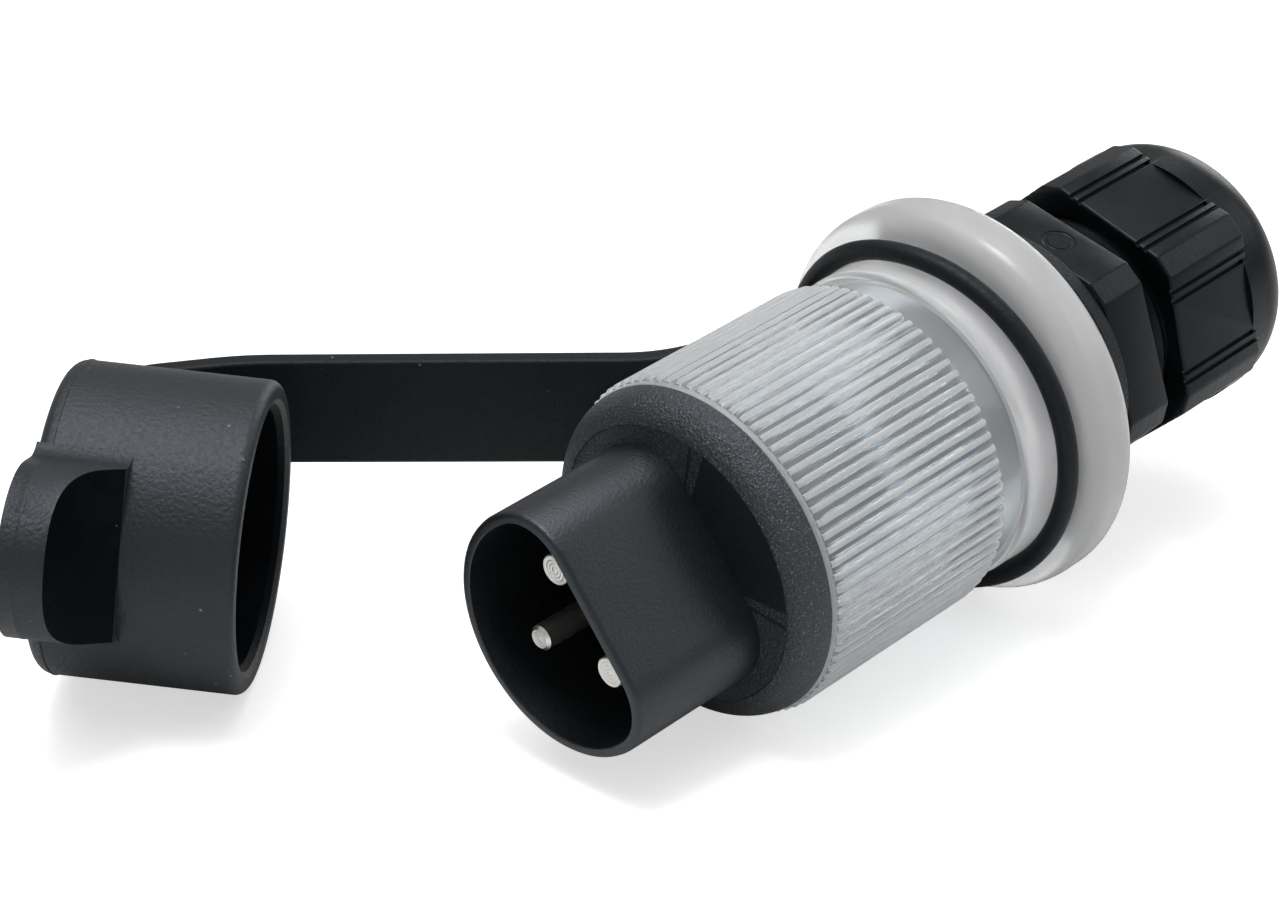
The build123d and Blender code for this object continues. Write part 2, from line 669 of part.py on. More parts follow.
with BuildPart() as protective_cap:
    with BuildSketch(cap_along):
        with BuildLine():
            CenterArc((cap_edge, cap_radius - cap_edge), cap_edge, 90, 90)
            Polyline((cap_edge, cap_radius), (flash_start, cap_radius), (flash_start, cap_radius + flash_height),
                     (cap_length - cap_end_round, cap_radius + flash_height), (cap_length - cap_end_round, cap_radius))
            CenterArc((cap_length - cap_end_round, cap_radius - cap_end_round), cap_end_round, 0, 90)
            Polyline((cap_length, cap_radius - cap_end_round), (cap_length, 0), (cap_length - cap_end_wall, 0),
                     (cap_length - cap_end_wall, cap_bore), (cap_lead_in, cap_bore),
                     (0, cap_bore + cap_lead_in), (0, cap_radius - cap_edge))
        make_face()
    revolve(axis=cap_axis)
    # Pull tab: a round tongue blended into the wall, scooped for a finger
    with BuildSketch(tab_face) as tab_outline:
        Circle(cap_radius)
        with Locations((tab_reach - tab_half, 0)):
            Circle(tab_half)
        with Locations(((tab_reach - tab_half) / 2, 0)):
            Rectangle(tab_reach - tab_half, 2 * tab_half)
        fillet(tab_outline.vertices().filter_by_position(Axis.X, 0, cap_radius), tab_blend)
        Circle(cap_radius - cap_wall / 2, mode=Mode.SUBTRACT)
    extrude(amount=tab_root)
    with BuildSketch(tab_section):
        with BuildLine():
            ThreePointArc((tab_tip, tab_reach), scoop_middle, (tab_root, cap_radius))
            Polyline((tab_root, cap_radius), (tab_root + tab_tip, cap_radius),
                     (tab_root + tab_tip, tab_reach + tab_tip), (tab_tip, tab_reach + tab_tip),
                     (tab_tip, tab_reach))
        make_face()
    extrude(amount=tab_half + cap_wall, both=True, mode=Mode.SUBTRACT)
    # Neck ring and strap
    with BuildSketch(ring_plane):
        with Locations((ring_radius, 0)):
            Circle(ring_section)
    revolve(axis=Axis(ring_middle, ring_dir))
    with BuildLine() as strap_line:
        FilletPolyline(strap_start, strap_point(front_x + strap_turn_x, strap_start.Y),
                       strap_point(front_x + strap_far_x, front_y + strap_far_y),
                       strap_point(front_x + strap_back_x, front_y + strap_back_y), strap_root,
                       radius=strap_bends)
    with BuildSketch(Plane(origin=strap_line.line @ 0, x_dir=strap_normal, z_dir=strap_line.line % 0)):
        RectangleRounded(strap_width, strap_thickness, strap_edge)
    sweep(path=strap_line.line)

contact_carrier.part.label = "contact_carrier"
export_step(contact_carrier.part, "parts/contact_carrier.step")
terminal_block.part.label = "terminal_block"
export_step(terminal_block.part, "parts/terminal_block.step")
carrier_seal.part.label = "carrier_seal"
export_step(carrier_seal.part, "parts/carrier_seal.step")
line_pin.part.label = "line_pin"
export_step(line_pin.part, "parts/line_pin.step")
neutral_pin.part.label = "neutral_pin"
export_step(neutral_pin.part, "parts/neutral_pin.step")
earth_pin.part.label = "earth_pin"
export_step(earth_pin.part, "parts/earth_pin.step")
line_screw.part.label = "line_screw"
export_step(line_screw.part, "parts/line_screw.step")
neutral_screw.part.label = "neutral_screw"
export_step(neutral_screw.part, "parts/neutral_screw.step")
earth_screw_piece.part.label = "earth_screw"
export_step(earth_screw_piece.part, "parts/earth_screw.step")
housing.part.label = "housing"
export_step(housing.part, "parts/housing.step")
led_board.part.label = "led_board"
export_step(led_board.part, "parts/led_board.step")
led_lamp.part.label = "led_lamp"
export_step(led_lamp.part, "parts/led_lamp.step")
series_resistor.part.label = "series_resistor"
export_step(series_resistor.part, "parts/series_resistor.step")
led_diode.part.label = "led_diode"
export_step(led_diode.part, "parts/led_diode.step")
led_lead_line.part.label = "led_lead_line"
export_step(led_lead_line.part, "parts/led_lead_line.step")
led_lead_neutral.part.label = "led_lead_neutral"
export_step(led_lead_neutral.part, "parts/led_lead_neutral.step")
gland_gasket.part.label = "gland_gasket"
export_step(gland_gasket.part, "parts/gland_gasket.step")
gland_body.part.label = "gland_body"
export_step(gland_body.part, "parts/gland_body.step")
gland_grommet.part.label = "gland_grommet"
export_step(gland_grommet.part, "parts/gland_grommet.step")
gland_nut.part.label = "gland_nut"
export_step(gland_nut.part, "parts/gland_nut.step")
protective_cap.part.label = "protective_cap"
export_step(protective_cap.part, "parts/protective_cap.step")
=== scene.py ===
import json
import math

import bmesh
import bpy
from mathutils import Matrix, Vector


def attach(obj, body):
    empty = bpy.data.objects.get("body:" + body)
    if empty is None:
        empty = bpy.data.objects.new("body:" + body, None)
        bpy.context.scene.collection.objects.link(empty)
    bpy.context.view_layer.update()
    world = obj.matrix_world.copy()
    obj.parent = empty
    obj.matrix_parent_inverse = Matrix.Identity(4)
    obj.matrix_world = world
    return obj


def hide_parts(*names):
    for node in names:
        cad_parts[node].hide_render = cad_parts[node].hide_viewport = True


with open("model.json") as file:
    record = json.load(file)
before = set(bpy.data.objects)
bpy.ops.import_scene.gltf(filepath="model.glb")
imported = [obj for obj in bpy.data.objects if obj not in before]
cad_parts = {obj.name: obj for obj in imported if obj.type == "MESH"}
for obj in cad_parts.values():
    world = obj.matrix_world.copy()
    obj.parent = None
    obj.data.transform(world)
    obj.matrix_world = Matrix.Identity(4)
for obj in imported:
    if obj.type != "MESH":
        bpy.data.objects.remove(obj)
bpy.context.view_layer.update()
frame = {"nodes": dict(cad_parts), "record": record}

MM = 0.001

# The plug's own axes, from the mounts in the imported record
mounts = {m["name"]: m for m in frame["record"]["mounts"]}
NOSE_REACH = 17.1
axis_dir = Vector(mounts["cable_entry"]["axis"]).normalized()
side_dir = Vector((0, 1, 0))
rise_dir = axis_dir.cross(side_dir)
plug_front = Vector(mounts["contact_nose"]["pos_m"]) + axis_dir * NOSE_REACH * MM
axis_lean = math.atan2(axis_dir.z, axis_dir.x)


def axes_matrix(x_dir, y_dir, z_dir, origin):
    """Place of a piece whose bench axes lie along three directions from an origin."""
    return Matrix.Translation(origin) @ Matrix((x_dir, y_dir, z_dir)).transposed().to_4x4()


PLUG = axes_matrix(side_dir, rise_dir, axis_dir, plug_front)


def plug_polar(point):
    """Station along the plug's axis and distance from it, in millimetres, of a seated point."""
    step = (Vector(point) - plug_front) / MM
    station = step.dot(axis_dir)
    return station, (step - axis_dir * station).length


# Bench tools

def fresh():
    """Nothing selected, so that the next operator acts on its own piece alone."""
    bpy.ops.object.select_all(action="DESELECT")


def pick(piece):
    """Only this piece is selected and active."""
    fresh()
    piece.select_set(True)
    bpy.context.view_layer.objects.active = piece


def edit_all():
    """Edit mode with every vertex of the active piece selected."""
    bpy.ops.object.mode_set(mode="EDIT")
    bpy.ops.mesh.select_mode(type="VERT")
    bpy.ops.mesh.select_all(action="SELECT")


def arc(station, radius, size, first, last, steps):
    """Points on a round of a turned outline, between two angles from the axis in degrees."""
    turns = [math.radians(first + (last - first) * i / steps) for i in range(steps + 1)]
    return [(station + size * math.cos(a), radius + size * math.sin(a)) for a in turns]


def turned(name, outline, around, roll=0.0, filled=False):
    """A turned shape: a circle at the outline's first point, extruded from point to point."""
    fresh()
    bpy.ops.mesh.primitive_circle_add(vertices=around, radius=outline[0][1] * MM,
                                      fill_type="NGON" if filled else "NOTHING",
                                      location=(0, 0, outline[0][0] * MM),
                                      rotation=(0, 0, math.radians(roll)))
    piece = bpy.context.object
    piece.name = name
    bpy.ops.object.transform_apply(location=True, rotation=True, scale=True)
    edit_all()
    for (s0, r0), (s1, r1) in zip(outline, outline[1:]):
        bpy.ops.mesh.extrude_region_move(TRANSFORM_OT_translate={"value": (0, 0, (s1 - s0) * MM)})
        if r1 <= 0:
            bpy.ops.mesh.merge(type="CENTER")
        elif r1 != r0:
            bpy.ops.transform.resize(value=(r1 / r0, r1 / r0, 1), center_override=(0, 0, s1 * MM))
    bpy.ops.mesh.select_all(action="SELECT")
    bpy.ops.mesh.remove_doubles(threshold=1e-6)
    bpy.ops.mesh.normals_make_consistent(inside=False)
    bpy.ops.object.mode_set(mode="OBJECT")
    return piece


def combine(piece, other, how):
    """Joins, cuts or keeps the overlap of two solids, and takes the second one away."""
    pick(piece)
    step = piece.modifiers.new("combine", "BOOLEAN")
    step.operation = how
    step.solver = "EXACT"
    step.object = other
    bpy.ops.object.modifier_apply(modifier=step.name)
    bpy.data.objects.remove(other)
    return piece


def break_edges(piece, width, angle=35.0, segments=3):
    """Rounds the sharp edges of a moulding."""
    pick(piece)
    step = piece.modifiers.new("edges", "BEVEL")
    step.width = width * MM
    step.segments = segments
    step.limit_method = "ANGLE"
    step.angle_limit = math.radians(angle)
    step.use_clamp_overlap = True
    bpy.ops.object.modifier_apply(modifier=step.name)
    return piece


def smooth(piece, angle):
    """Smooth shading, with the edges that turn by more than the angle kept sharp."""
    pick(piece)
    bpy.ops.object.shade_smooth_by_angle(angle=math.radians(angle))
    return piece


def seat(piece, place):
    """Moves a piece from the bench to its place, and puts that place in its mesh."""
    pick(piece)
    piece.matrix_world = place
    bpy.ops.object.transform_apply(location=True, rotation=True, scale=True)
    return piece


def join(name, pieces):
    """Several parts of one moulding become one piece."""
    pick(pieces[0])
    for piece in pieces[1:]:
        piece.select_set(True)
    bpy.ops.object.join()
    joined = bpy.context.object
    joined.name = name
    return joined


def copies(piece, count):
    """The piece and copies of it, each with a mesh of its own."""
    pieces = [piece]
    for _ in range(count - 1):
        other = piece.copy()
        other.data = piece.data.copy()
        bpy.context.scene.collection.objects.link(other)
        pieces.append(other)
    return pieces


def box(size, place):
    """A block of the given size at a place on the bench."""
    fresh()
    bpy.ops.mesh.primitive_cube_add(size=1)
    block = bpy.context.object
    block.matrix_world = place @ Matrix.Diagonal((size[0] * MM, size[1] * MM, size[2] * MM, 1))
    bpy.ops.object.transform_apply(location=True, rotation=True, scale=True)
    return block


def at(station, roll=0.0, away=0.0, beside=0.0):
    """Place on the bench: along the axis, turned by a roll, then shifted in that turned frame."""
    return (Matrix.Rotation(math.radians(roll), 4, "Z")
            @ Matrix.Translation((away * MM, beside * MM, station * MM)))


def paint(piece, *materials):
    """The piece's finishes, in the order of their material indices."""
    piece.data.materials.clear()
    for material in materials:
        piece.data.materials.append(material)


# Materials

def linear(code):
    """Linear colour of an sRGB hex code."""
    parts = [int(code[i:i + 2], 16) / 255 for i in (1, 3, 5)]
    return tuple(c / 12.92 if c <= 0.04045 else ((c + 0.055) / 1.055) ** 2.4 for c in parts) + (1.0,)


def toned(colour, part, lift=0.0):
    """A linear colour made darker or lighter."""
    return tuple(min(1.0, c * part + lift) for c in colour[:3]) + (1.0,)


def feed(tree, node, inputs):
    """Sets a node's inputs, which are values or other nodes' outputs."""
    for key, value in inputs.items():
        if isinstance(value, bpy.types.NodeSocket):
            tree.links.new(value, node.inputs[key])
        else:
            node.inputs[key].default_value = value


def add(tree, kind, inputs=None, stops=(), **settings):
    """One node with its settings, its inputs and, where it has them, its colour stops."""
    made = tree.nodes.new(kind)
    for key, value in settings.items():
        setattr(made, key, value)
    feed(tree, made, inputs or {})
    for i, (level, colour) in enumerate(stops):
        made.color_ramp.elements[i].position = level
        made.color_ramp.elements[i].color = colour
    return made


def begin(name):
    """A new material with its shader, its tree and the piece's own coordinates."""
    material = bpy.data.materials.new(name)
    material.use_nodes = True
    tree = material.node_tree
    shader = tree.nodes["Principled BSDF"]
    place = add(tree, "ShaderNodeTexCoord").outputs["Object"]
    return material, tree, shader, place


def per_mm(size):
    """Texture scale for a pattern whose features are this many millimetres across."""
    return 1.0 / (size * MM)


def texture(tree, shader, field, rough, strength, depth_mm):
    """A field varies the roughness of a finish between two values and raises its surface."""
    spread = add(tree, "ShaderNodeMapRange", {"Value": field, "To Min": rough[0], "To Max": rough[1]})
    bump = add(tree, "ShaderNodeBump", {"Height": field, "Strength": strength, "Distance": depth_mm * MM})
    feed(tree, shader, {"Roughness": spread.outputs["Result"], "Normal": bump.outputs["Normal"]})


# sockets of a Mix node that mixes colours
MIX_FACTOR, MIX_FIRST, MIX_SECOND, MIX_RESULT = 0, 6, 7, 2
# gloss on the black mouldings is faintly blue, as in the studio photograph
COOL_GLOSS = "#EBF5FF"


def frosted_polyamide(name, code, clear, roughness, cloud_mm):
    """Unfilled polyamide as moulded: thin walls let a blurred, cool view through, thick ones are milky."""
    material, tree, shader, place = begin(name)
    cloud = add(tree, "ShaderNodeTexNoise", {"Vector": place, "Scale": per_mm(cloud_mm), "Detail": 3.0})
    base = linear(code)
    tone = add(tree, "ShaderNodeValToRGB", {"Fac": cloud.outputs["Fac"]},
               stops=((0.3, toned(base, 0.95)), (0.7, base)))
    feed(tree, shader, {"Base Color": tone.outputs["Color"], "IOR": 1.46, "Transmission Weight": clear,
                        "Subsurface Weight": 1.0, "Subsurface Radius": (1.0, 1.0, 1.0),
                        "Subsurface Scale": 3.0 * MM})
    grain = add(tree, "ShaderNodeTexNoise", {"Vector": place, "Scale": per_mm(0.5), "Detail": 3.0})
    texture(tree, shader, grain.outputs["Fac"], (roughness - 0.02, roughness + 0.02), 0.05, 0.02)
    return material


def black_polyamide(name, code, roughness, grain_mm, depth_mm, specular, dust_and_glint_speck, stretch=1.0):
    """Black glass-filled polyamide: satin skin, a grain that breaks up the highlight, and painted glints:
    lighter specks in its colour that stand in for highlights on the grain.

    A stretched grain runs as fine lines round the plug's axis, as a cutter leaves them. The real
    grain is finer than a picture shows, and is drawn coarser."""
    material, tree, shader, place = begin(name)
    lines = add(tree, "ShaderNodeMapping", {"Vector": place, "Rotation": (0, -axis_lean, 0),
                                            "Scale": (1, stretch, stretch)}, vector_type="TEXTURE")
    cloud = add(tree, "ShaderNodeTexNoise", {"Vector": place, "Scale": per_mm(6.0), "Detail": 4.0})
    grain = add(tree, "ShaderNodeTexNoise", {"Vector": lines.outputs["Vector"], "Scale": per_mm(grain_mm),
                                             "Detail": 2.0, "Roughness": 0.6})
    base = linear(code)
    tone = add(tree, "ShaderNodeValToRGB", {"Fac": cloud.outputs["Fac"]},
               stops=((0.35, base), (0.75, toned(base, 1.7, 0.002))))
    # painted glints: specks of a lighter colour lighten the skin's colour, in place of highlights on the
    # grain
    glint = add(tree, "ShaderNodeTexNoise", {"Vector": lines.outputs["Vector"],
                                             "Scale": per_mm(0.7 * grain_mm), "Detail": 1.0})
    painted_glints = add(tree, "ShaderNodeValToRGB", {"Fac": glint.outputs["Fac"]},
               stops=((0.60, base), (0.76, linear(dust_and_glint_speck))))
    skin = add(tree, "ShaderNodeMix", {MIX_FACTOR: 1.0, MIX_FIRST: tone.outputs["Color"],
                                       MIX_SECOND: painted_glints.outputs["Color"]},
               data_type="RGBA", blend_type="LIGHTEN")
    texture(tree, shader, grain.outputs["Fac"], (roughness - 0.1, roughness + 0.1), 0.6, depth_mm)
    feed(tree, shader, {"Base Color": skin.outputs[MIX_RESULT], "IOR": 1.5, "Specular IOR Level": specular,
                        "Specular Tint": linear(COOL_GLOSS)})
    return material


def cap_rubber(name, depth_mm, specular):
    """Moulded black rubber: pebbled skin that scatters the highlight, grey dust."""
    material, tree, shader, place = begin(name)
    pebble = add(tree, "ShaderNodeTexNoise", {"Vector": place, "Scale": per_mm(0.36), "Detail": 3.0})
    dust = add(tree, "ShaderNodeTexVoronoi", {"Vector": place, "Scale": per_mm(2.0)})
    dust_and_glint_speck = add(tree, "ShaderNodeValToRGB", {"Fac": dust.outputs["Distance"]},
                stops=((0.035, linear("#7E8082")), (0.075, linear("#05070A"))))
    cloud = add(tree, "ShaderNodeTexNoise", {"Vector": place, "Scale": per_mm(8.0), "Detail": 3.0})
    film = add(tree, "ShaderNodeValToRGB", {"Fac": cloud.outputs["Fac"]},
               stops=((0.40, linear("#05070A")), (0.72, linear("#0A0D10"))))
    patch = add(tree, "ShaderNodeTexNoise", {"Vector": place, "Scale": per_mm(3.1), "Detail": 2.0})
    where = add(tree, "ShaderNodeMapRange", {"Value": patch.outputs["Fac"], "From Min": 0.50,
                                             "From Max": 0.60})
    tone = add(tree, "ShaderNodeMix", {MIX_FACTOR: where.outputs["Result"], MIX_FIRST: film.outputs["Color"],
                                       MIX_SECOND: dust_and_glint_speck.outputs["Color"]}, data_type="RGBA")
    texture(tree, shader, pebble.outputs["Fac"], (0.42, 0.66), 0.6, depth_mm)
    feed(tree, shader, {"Base Color": tone.outputs[MIX_RESULT], "IOR": 1.5, "Specular IOR Level": specular,
                        "Specular Tint": linear(COOL_GLOSS)})
    return material


def silvered_brass():
    """Turned brass, silver-plated: soft metal sheen with fine tool marks."""
    material, tree, shader, place = begin("silver-plated turned brass")
    feed(tree, shader, {"Metallic": 1.0, "Base Color": linear("#EFEDE8")})
    marks = add(tree, "ShaderNodeTexNoise", {"Vector": place, "Scale": per_mm(0.3), "Detail": 3.0})
    texture(tree, shader, marks.outputs["Fac"], (0.28, 0.45), 0.15, 0.02)
    return material


def plain_finish(name, code, roughness, metallic=0.0):
    """Small inner piece: its own colour with a little unevenness."""
    material, tree, shader, place = begin(name)
    cloud = add(tree, "ShaderNodeTexNoise", {"Vector": place, "Scale": per_mm(1.0), "Detail": 2.0})
    base = linear(code)
    tone = add(tree, "ShaderNodeValToRGB", {"Fac": cloud.outputs["Fac"]},
               stops=((0.3, toned(base, 0.8)), (0.7, base)))
    feed(tree, shader, {"Base Color": tone.outputs["Color"], "Roughness": roughness, "Metallic": metallic})
    return material


# thin walls between the ribs: cool and glassy, the dark core shows through
FROSTED_THIN = frosted_polyamide("clear thin polyamide", "#E9F2FB", clear=0.74, roughness=0.21, cloud_mm=9.0)
# ribs: near-white lines over the cooler wall
FROSTED_MILKY = frosted_polyamide("milky ribs of polyamide", "#FFFFFE", clear=0.50, roughness=0.36,
                                  cloud_mm=12.0)
# land and flange: thick, so paler and milkier
FROSTED_THICK = frosted_polyamide("milky thick polyamide", "#FDFEFF", clear=0.62, roughness=0.23,
                                  cloud_mm=12.0)
# inside of the wall: nearly clear, so that it adds little blur of its own
FROSTED_INSIDE = frosted_polyamide("polished inner wall of polyamide", "#F4F8FB", clear=0.94, roughness=0.12,
                                   cloud_mm=9.0)
# nose: even satin sheen
NOSE_SATIN = black_polyamide("satin black polyamide of the nose", "#06080A", roughness=0.42, grain_mm=0.30,
                             depth_mm=0.07, specular=0.80, dust_and_glint_speck="#1A1E22")
# base: rough grain with grey glints painted into its colour
BASE_GRAINED = black_polyamide("grained black polyamide", "#06080A", roughness=0.48, grain_mm=0.26,
                               depth_mm=0.42, specular=1.0, dust_and_glint_speck="#666B70")
# gland's flats: deep black with a soft sheen
GLAND_SMOOTH = black_polyamide("satin black polyamide", "#06080A", roughness=0.34, grain_mm=0.60,
                               depth_mm=0.03, specular=0.24, dust_and_glint_speck="#0B0D0F")
# gland's collar: dull, finely pitted
GLAND_ERODED = black_polyamide("spark-eroded black polyamide", "#0B0D10", roughness=0.50, grain_mm=0.28,
                               depth_mm=0.24, specular=0.42, dust_and_glint_speck="#24282C")
# hexagons' cut corners: fine lines across
GLAND_LINED = black_polyamide("trimmed black polyamide", "#0A0C0E", roughness=0.46, grain_mm=0.22,
                              depth_mm=0.16, specular=0.40, dust_and_glint_speck="#1C2024", stretch=9.0)
# cap: greyish sheen over small pebbles; strap and ring: duller, a copy with less sheen that paints shade on
# the strap in its nook; hollows: no sheen, a copy that paints shade in the cap's bore and the tab's scoop
RUBBER = cap_rubber("moulded EPDM rubber", depth_mm=0.14, specular=0.76)
SHADED_STRAP_RUBBER = cap_rubber("duller EPDM rubber with painted shade on the strap", depth_mm=0.10, specular=0.34)
SHADED_HOLLOW_RUBBER = cap_rubber("EPDM rubber with painted shade in hollows", depth_mm=0.10, specular=0.06)
SILVER = silvered_brass()

# Housing: frosted moulding with eighty ribs

RIB_COUNT = 80
RIB_STEPS = 12
RIB_FLOOR = 15.15
RIB_CREST = 15.8
RIB_PHASE = 2.65
RIB_START, RIB_END = 0.6, 22.4
FACE_RADIUS = 15.45
HOUSING_NECK = 14.2
LAND_START = 26.1
LAND_RADIUS = 15.15
LAND_ROUND = 0.6
FLANGE_START, FLANGE_END = 31.2, 36.4
FLANGE_RADIUS = 18.85
FLANGE_FRONT_ROUND, FLANGE_BACK_ROUND = 2.4, 1.2
TAIL_ROOT, TAIL_RADIUS = 15.6, 14.2
HOUSING_END = 40.3
CAVITY_RADIUS = 13.1
CAVITY_START, CAVITY_CONE, CAVITY_END = 3.0, 28.0, 31.0
THREAD_RADIUS = 10.0
FRONT_BORE = 9.95
# height of the rib's profile round one pitch, as a part of the full height
RIB_SHAPE = (1.0, 1.0, 0.94, 0.52, 0.06, 0.0, 0.0, 0.0, 0.06, 0.52, 0.94, 1.0)
# stations of the loops in the ribbed stretch, with how much of the rib's height stands there
RIB_LOOPS = ((0.62, 0.55), (0.95, 1.0), (11.0, 1.0), (21.3, 1.0), (21.75, 0.93), (22.1, 0.72),
             (22.3, 0.35), (RIB_END, 0.0))

housing_outline = ([(0.0, FRONT_BORE), (0.0, FACE_RADIUS - 0.25), (0.08, FACE_RADIUS - 0.07),
                    (0.25, FACE_RADIUS), (RIB_START - 0.05, FACE_RADIUS), (RIB_START, RIB_FLOOR)]
                   + [(station, RIB_FLOOR) for station, part in RIB_LOOPS]
                   + [(RIB_END + 0.05, RIB_FLOOR - 0.15), (RIB_END + 0.1, HOUSING_NECK + 0.25),
                      (RIB_END + 0.35, HOUSING_NECK), (LAND_START + 0.05, HOUSING_NECK),
                      (LAND_START + 0.3, HOUSING_NECK + 0.25)]
                   + arc(LAND_START + 0.3 + LAND_ROUND, LAND_RADIUS - LAND_ROUND, LAND_ROUND, 180, 90, 6)
                   + [(FLANGE_START - 0.3, LAND_RADIUS), (FLANGE_START - 0.1, LAND_RADIUS + 0.1),
                      (FLANGE_START, LAND_RADIUS + 0.35)]
                   + arc(FLANGE_START + FLANGE_FRONT_ROUND, FLANGE_RADIUS - FLANGE_FRONT_ROUND,
                         FLANGE_FRONT_ROUND, 180, 90, 12)
                   + arc(FLANGE_END - FLANGE_BACK_ROUND, FLANGE_RADIUS - FLANGE_BACK_ROUND,
                         FLANGE_BACK_ROUND, 90, 0, 8)
                   + [(FLANGE_END, TAIL_ROOT + 0.3), (FLANGE_END + 0.25, TAIL_ROOT),
                      (HOUSING_END - 0.3, TAIL_RADIUS), (HOUSING_END, TAIL_RADIUS - 0.3),
                      (HOUSING_END, THREAD_RADIUS), (CAVITY_END, THREAD_RADIUS),
                      (CAVITY_CONE, CAVITY_RADIUS), (CAVITY_START, CAVITY_RADIUS),
                      (CAVITY_START, FRONT_BORE), (0.0, FRONT_BORE)])
housing = turned("frosted_housing", housing_outline, RIB_COUNT * RIB_STEPS, roll=RIB_PHASE)

pick(housing)
bpy.ops.object.mode_set(mode="EDIT")
bpy.ops.mesh.select_all(action="DESELECT")
shell = bmesh.from_edit_mesh(housing.data)
pitch = 360.0 / RIB_COUNT
rib_groups = {}
for vert in shell.verts:
    if abs(vert.co.xy.length - RIB_FLOOR * MM) > 1e-6:
        continue
    for station, part in RIB_LOOPS:
        if abs(vert.co.z - station * MM) < 1e-6:
            angle = math.degrees(math.atan2(vert.co.y, vert.co.x)) - RIB_PHASE
            step = round((angle % pitch) / pitch * RIB_STEPS) % RIB_STEPS
            height = round(part * RIB_SHAPE[step] * (RIB_CREST - RIB_FLOOR), 4)
            if height > 0:
                rib_groups.setdefault(height, []).append(vert)
for height, verts in sorted(rib_groups.items()):
    for vert in verts:
        vert.select = True
    shell.select_flush(True)
    bmesh.update_edit_mesh(housing.data)
    grow = 1 + height / RIB_FLOOR
    bpy.ops.transform.resize(value=(grow, grow, 1), center_override=(0, 0, 0))
    bpy.ops.mesh.select_all(action="DESELECT")
bpy.ops.object.mode_set(mode="OBJECT")
smooth(housing, 38)
seat(housing, PLUG)
paint(housing, FROSTED_THIN, FROSTED_MILKY, FROSTED_THICK, FROSTED_INSIDE)
for face in housing.data.polygons:
    station, away = plug_polar(face.center)
    on_rib = station < RIB_END and away > (RIB_FLOOR + RIB_CREST) / 2
    if away < CAVITY_RADIUS + 0.1 and CAVITY_START - 0.1 < station < CAVITY_END + 0.1:
        face.material_index = 3
    elif on_rib or station < RIB_START:
        face.material_index = 1
    elif station > LAND_START:
        face.material_index = 2
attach(housing, "root")
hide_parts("housing")

# Contact carrier with the terminal block in it: bulged base, D-shaped nose, stem

NOSE_ROLL = 144.0
NOSE_RADIUS = 11.23
NOSE_FLAT = 6.3
NOSE_CORNER = 5.5
NOSE_WALL = 1.0
NOSE_FLOOR = 2.2
NOSE_EDGE = 0.5
NOSE_ROOT = -1.0
POCKET_EDGE = 0.1
POCKET_DRAW = 0.991
STEM_RADIUS = 9.8
STEM_END = 13.4
SEAL_SEAT = 8.5
SEAL_START, SEAL_END = 0.8, 2.2
BASE_RADIUS = 15.35
BASE_ROUND = 2.9
BASE_FACE = -2.7
BASE_RECESS = 12.7


def d_prism(name, radius, flat, corner, low, high):
    """A D-shaped block: one vertex drawn along the flat, spun round the corners and the round side."""
    middle = flat - corner
    reach = math.sqrt((radius - corner) ** 2 - middle ** 2)
    turn = math.atan2(reach, middle)
    fresh()
    bpy.ops.mesh.primitive_circle_add(vertices=3, radius=0.1 * MM,
                                      location=(flat * MM, -reach * MM, low * MM))
    piece = bpy.context.object
    piece.name = name
    bpy.ops.object.transform_apply(location=True, rotation=True, scale=True)
    edit_all()
    bpy.ops.mesh.merge(type="CENTER")
    bpy.ops.mesh.extrude_region_move(TRANSFORM_OT_translate={"value": (0, 2 * reach * MM, 0)})
    bpy.ops.mesh.spin(steps=16, angle=-turn, center=(middle * MM, reach * MM, low * MM), axis=(0, 0, 1))
    bpy.ops.mesh.spin(steps=96, angle=-2 * (math.pi - turn), center=(0, 0, low * MM), axis=(0, 0, 1))
    bpy.ops.mesh.spin(steps=16, angle=-turn, center=(middle * MM, -reach * MM, low * MM), axis=(0, 0, 1))
    bpy.ops.mesh.select_all(action="SELECT")
    bpy.ops.mesh.remove_doubles(threshold=1e-6)
    bpy.ops.mesh.edge_face_add()
    bpy.ops.mesh.extrude_region_move(TRANSFORM_OT_translate={"value": (0, 0, (high - low) * MM)})
    bpy.ops.mesh.select_all(action="SELECT")
    bpy.ops.mesh.normals_make_consistent(inside=False)
    bpy.ops.object.mode_set(mode="OBJECT")
    return piece


def select_end(piece, station):
    """In edit mode, only the flat face at a station is selected."""
    bpy.ops.mesh.select_all(action="DESELECT")
    bpy.ops.mesh.select_mode(type="FACE")
    faces = bmesh.from_edit_mesh(piece.data)
    for face in faces.faces:
        if all(abs(v.co.z - station * MM) < 1e-6 for v in face.verts):
            face.select = True
    bmesh.update_edit_mesh(piece.data)


nose = d_prism("nose", NOSE_RADIUS, NOSE_FLAT, NOSE_CORNER, NOSE_ROOT, -NOSE_REACH)
pick(nose)
bpy.ops.object.mode_set(mode="EDIT")
select_end(nose, -NOSE_REACH)
bpy.ops.mesh.region_to_loop()
bpy.ops.mesh.bevel(offset=NOSE_EDGE * MM, segments=3, affect="EDGES")
select_end(nose, -NOSE_REACH)
bpy.ops.mesh.inset(thickness=(NOSE_WALL - NOSE_EDGE - POCKET_EDGE) * MM)
bpy.ops.mesh.extrude_region_move(TRANSFORM_OT_translate={"value": (0, 0, POCKET_EDGE * MM)})
bpy.ops.transform.resize(value=(POCKET_DRAW, POCKET_DRAW, 1), center_override=(0, 0, 0))
bpy.ops.mesh.extrude_region_move(
    TRANSFORM_OT_translate={"value": (0, 0, (NOSE_REACH - NOSE_FLOOR - POCKET_EDGE) * MM)})
bpy.ops.object.mode_set(mode="OBJECT")

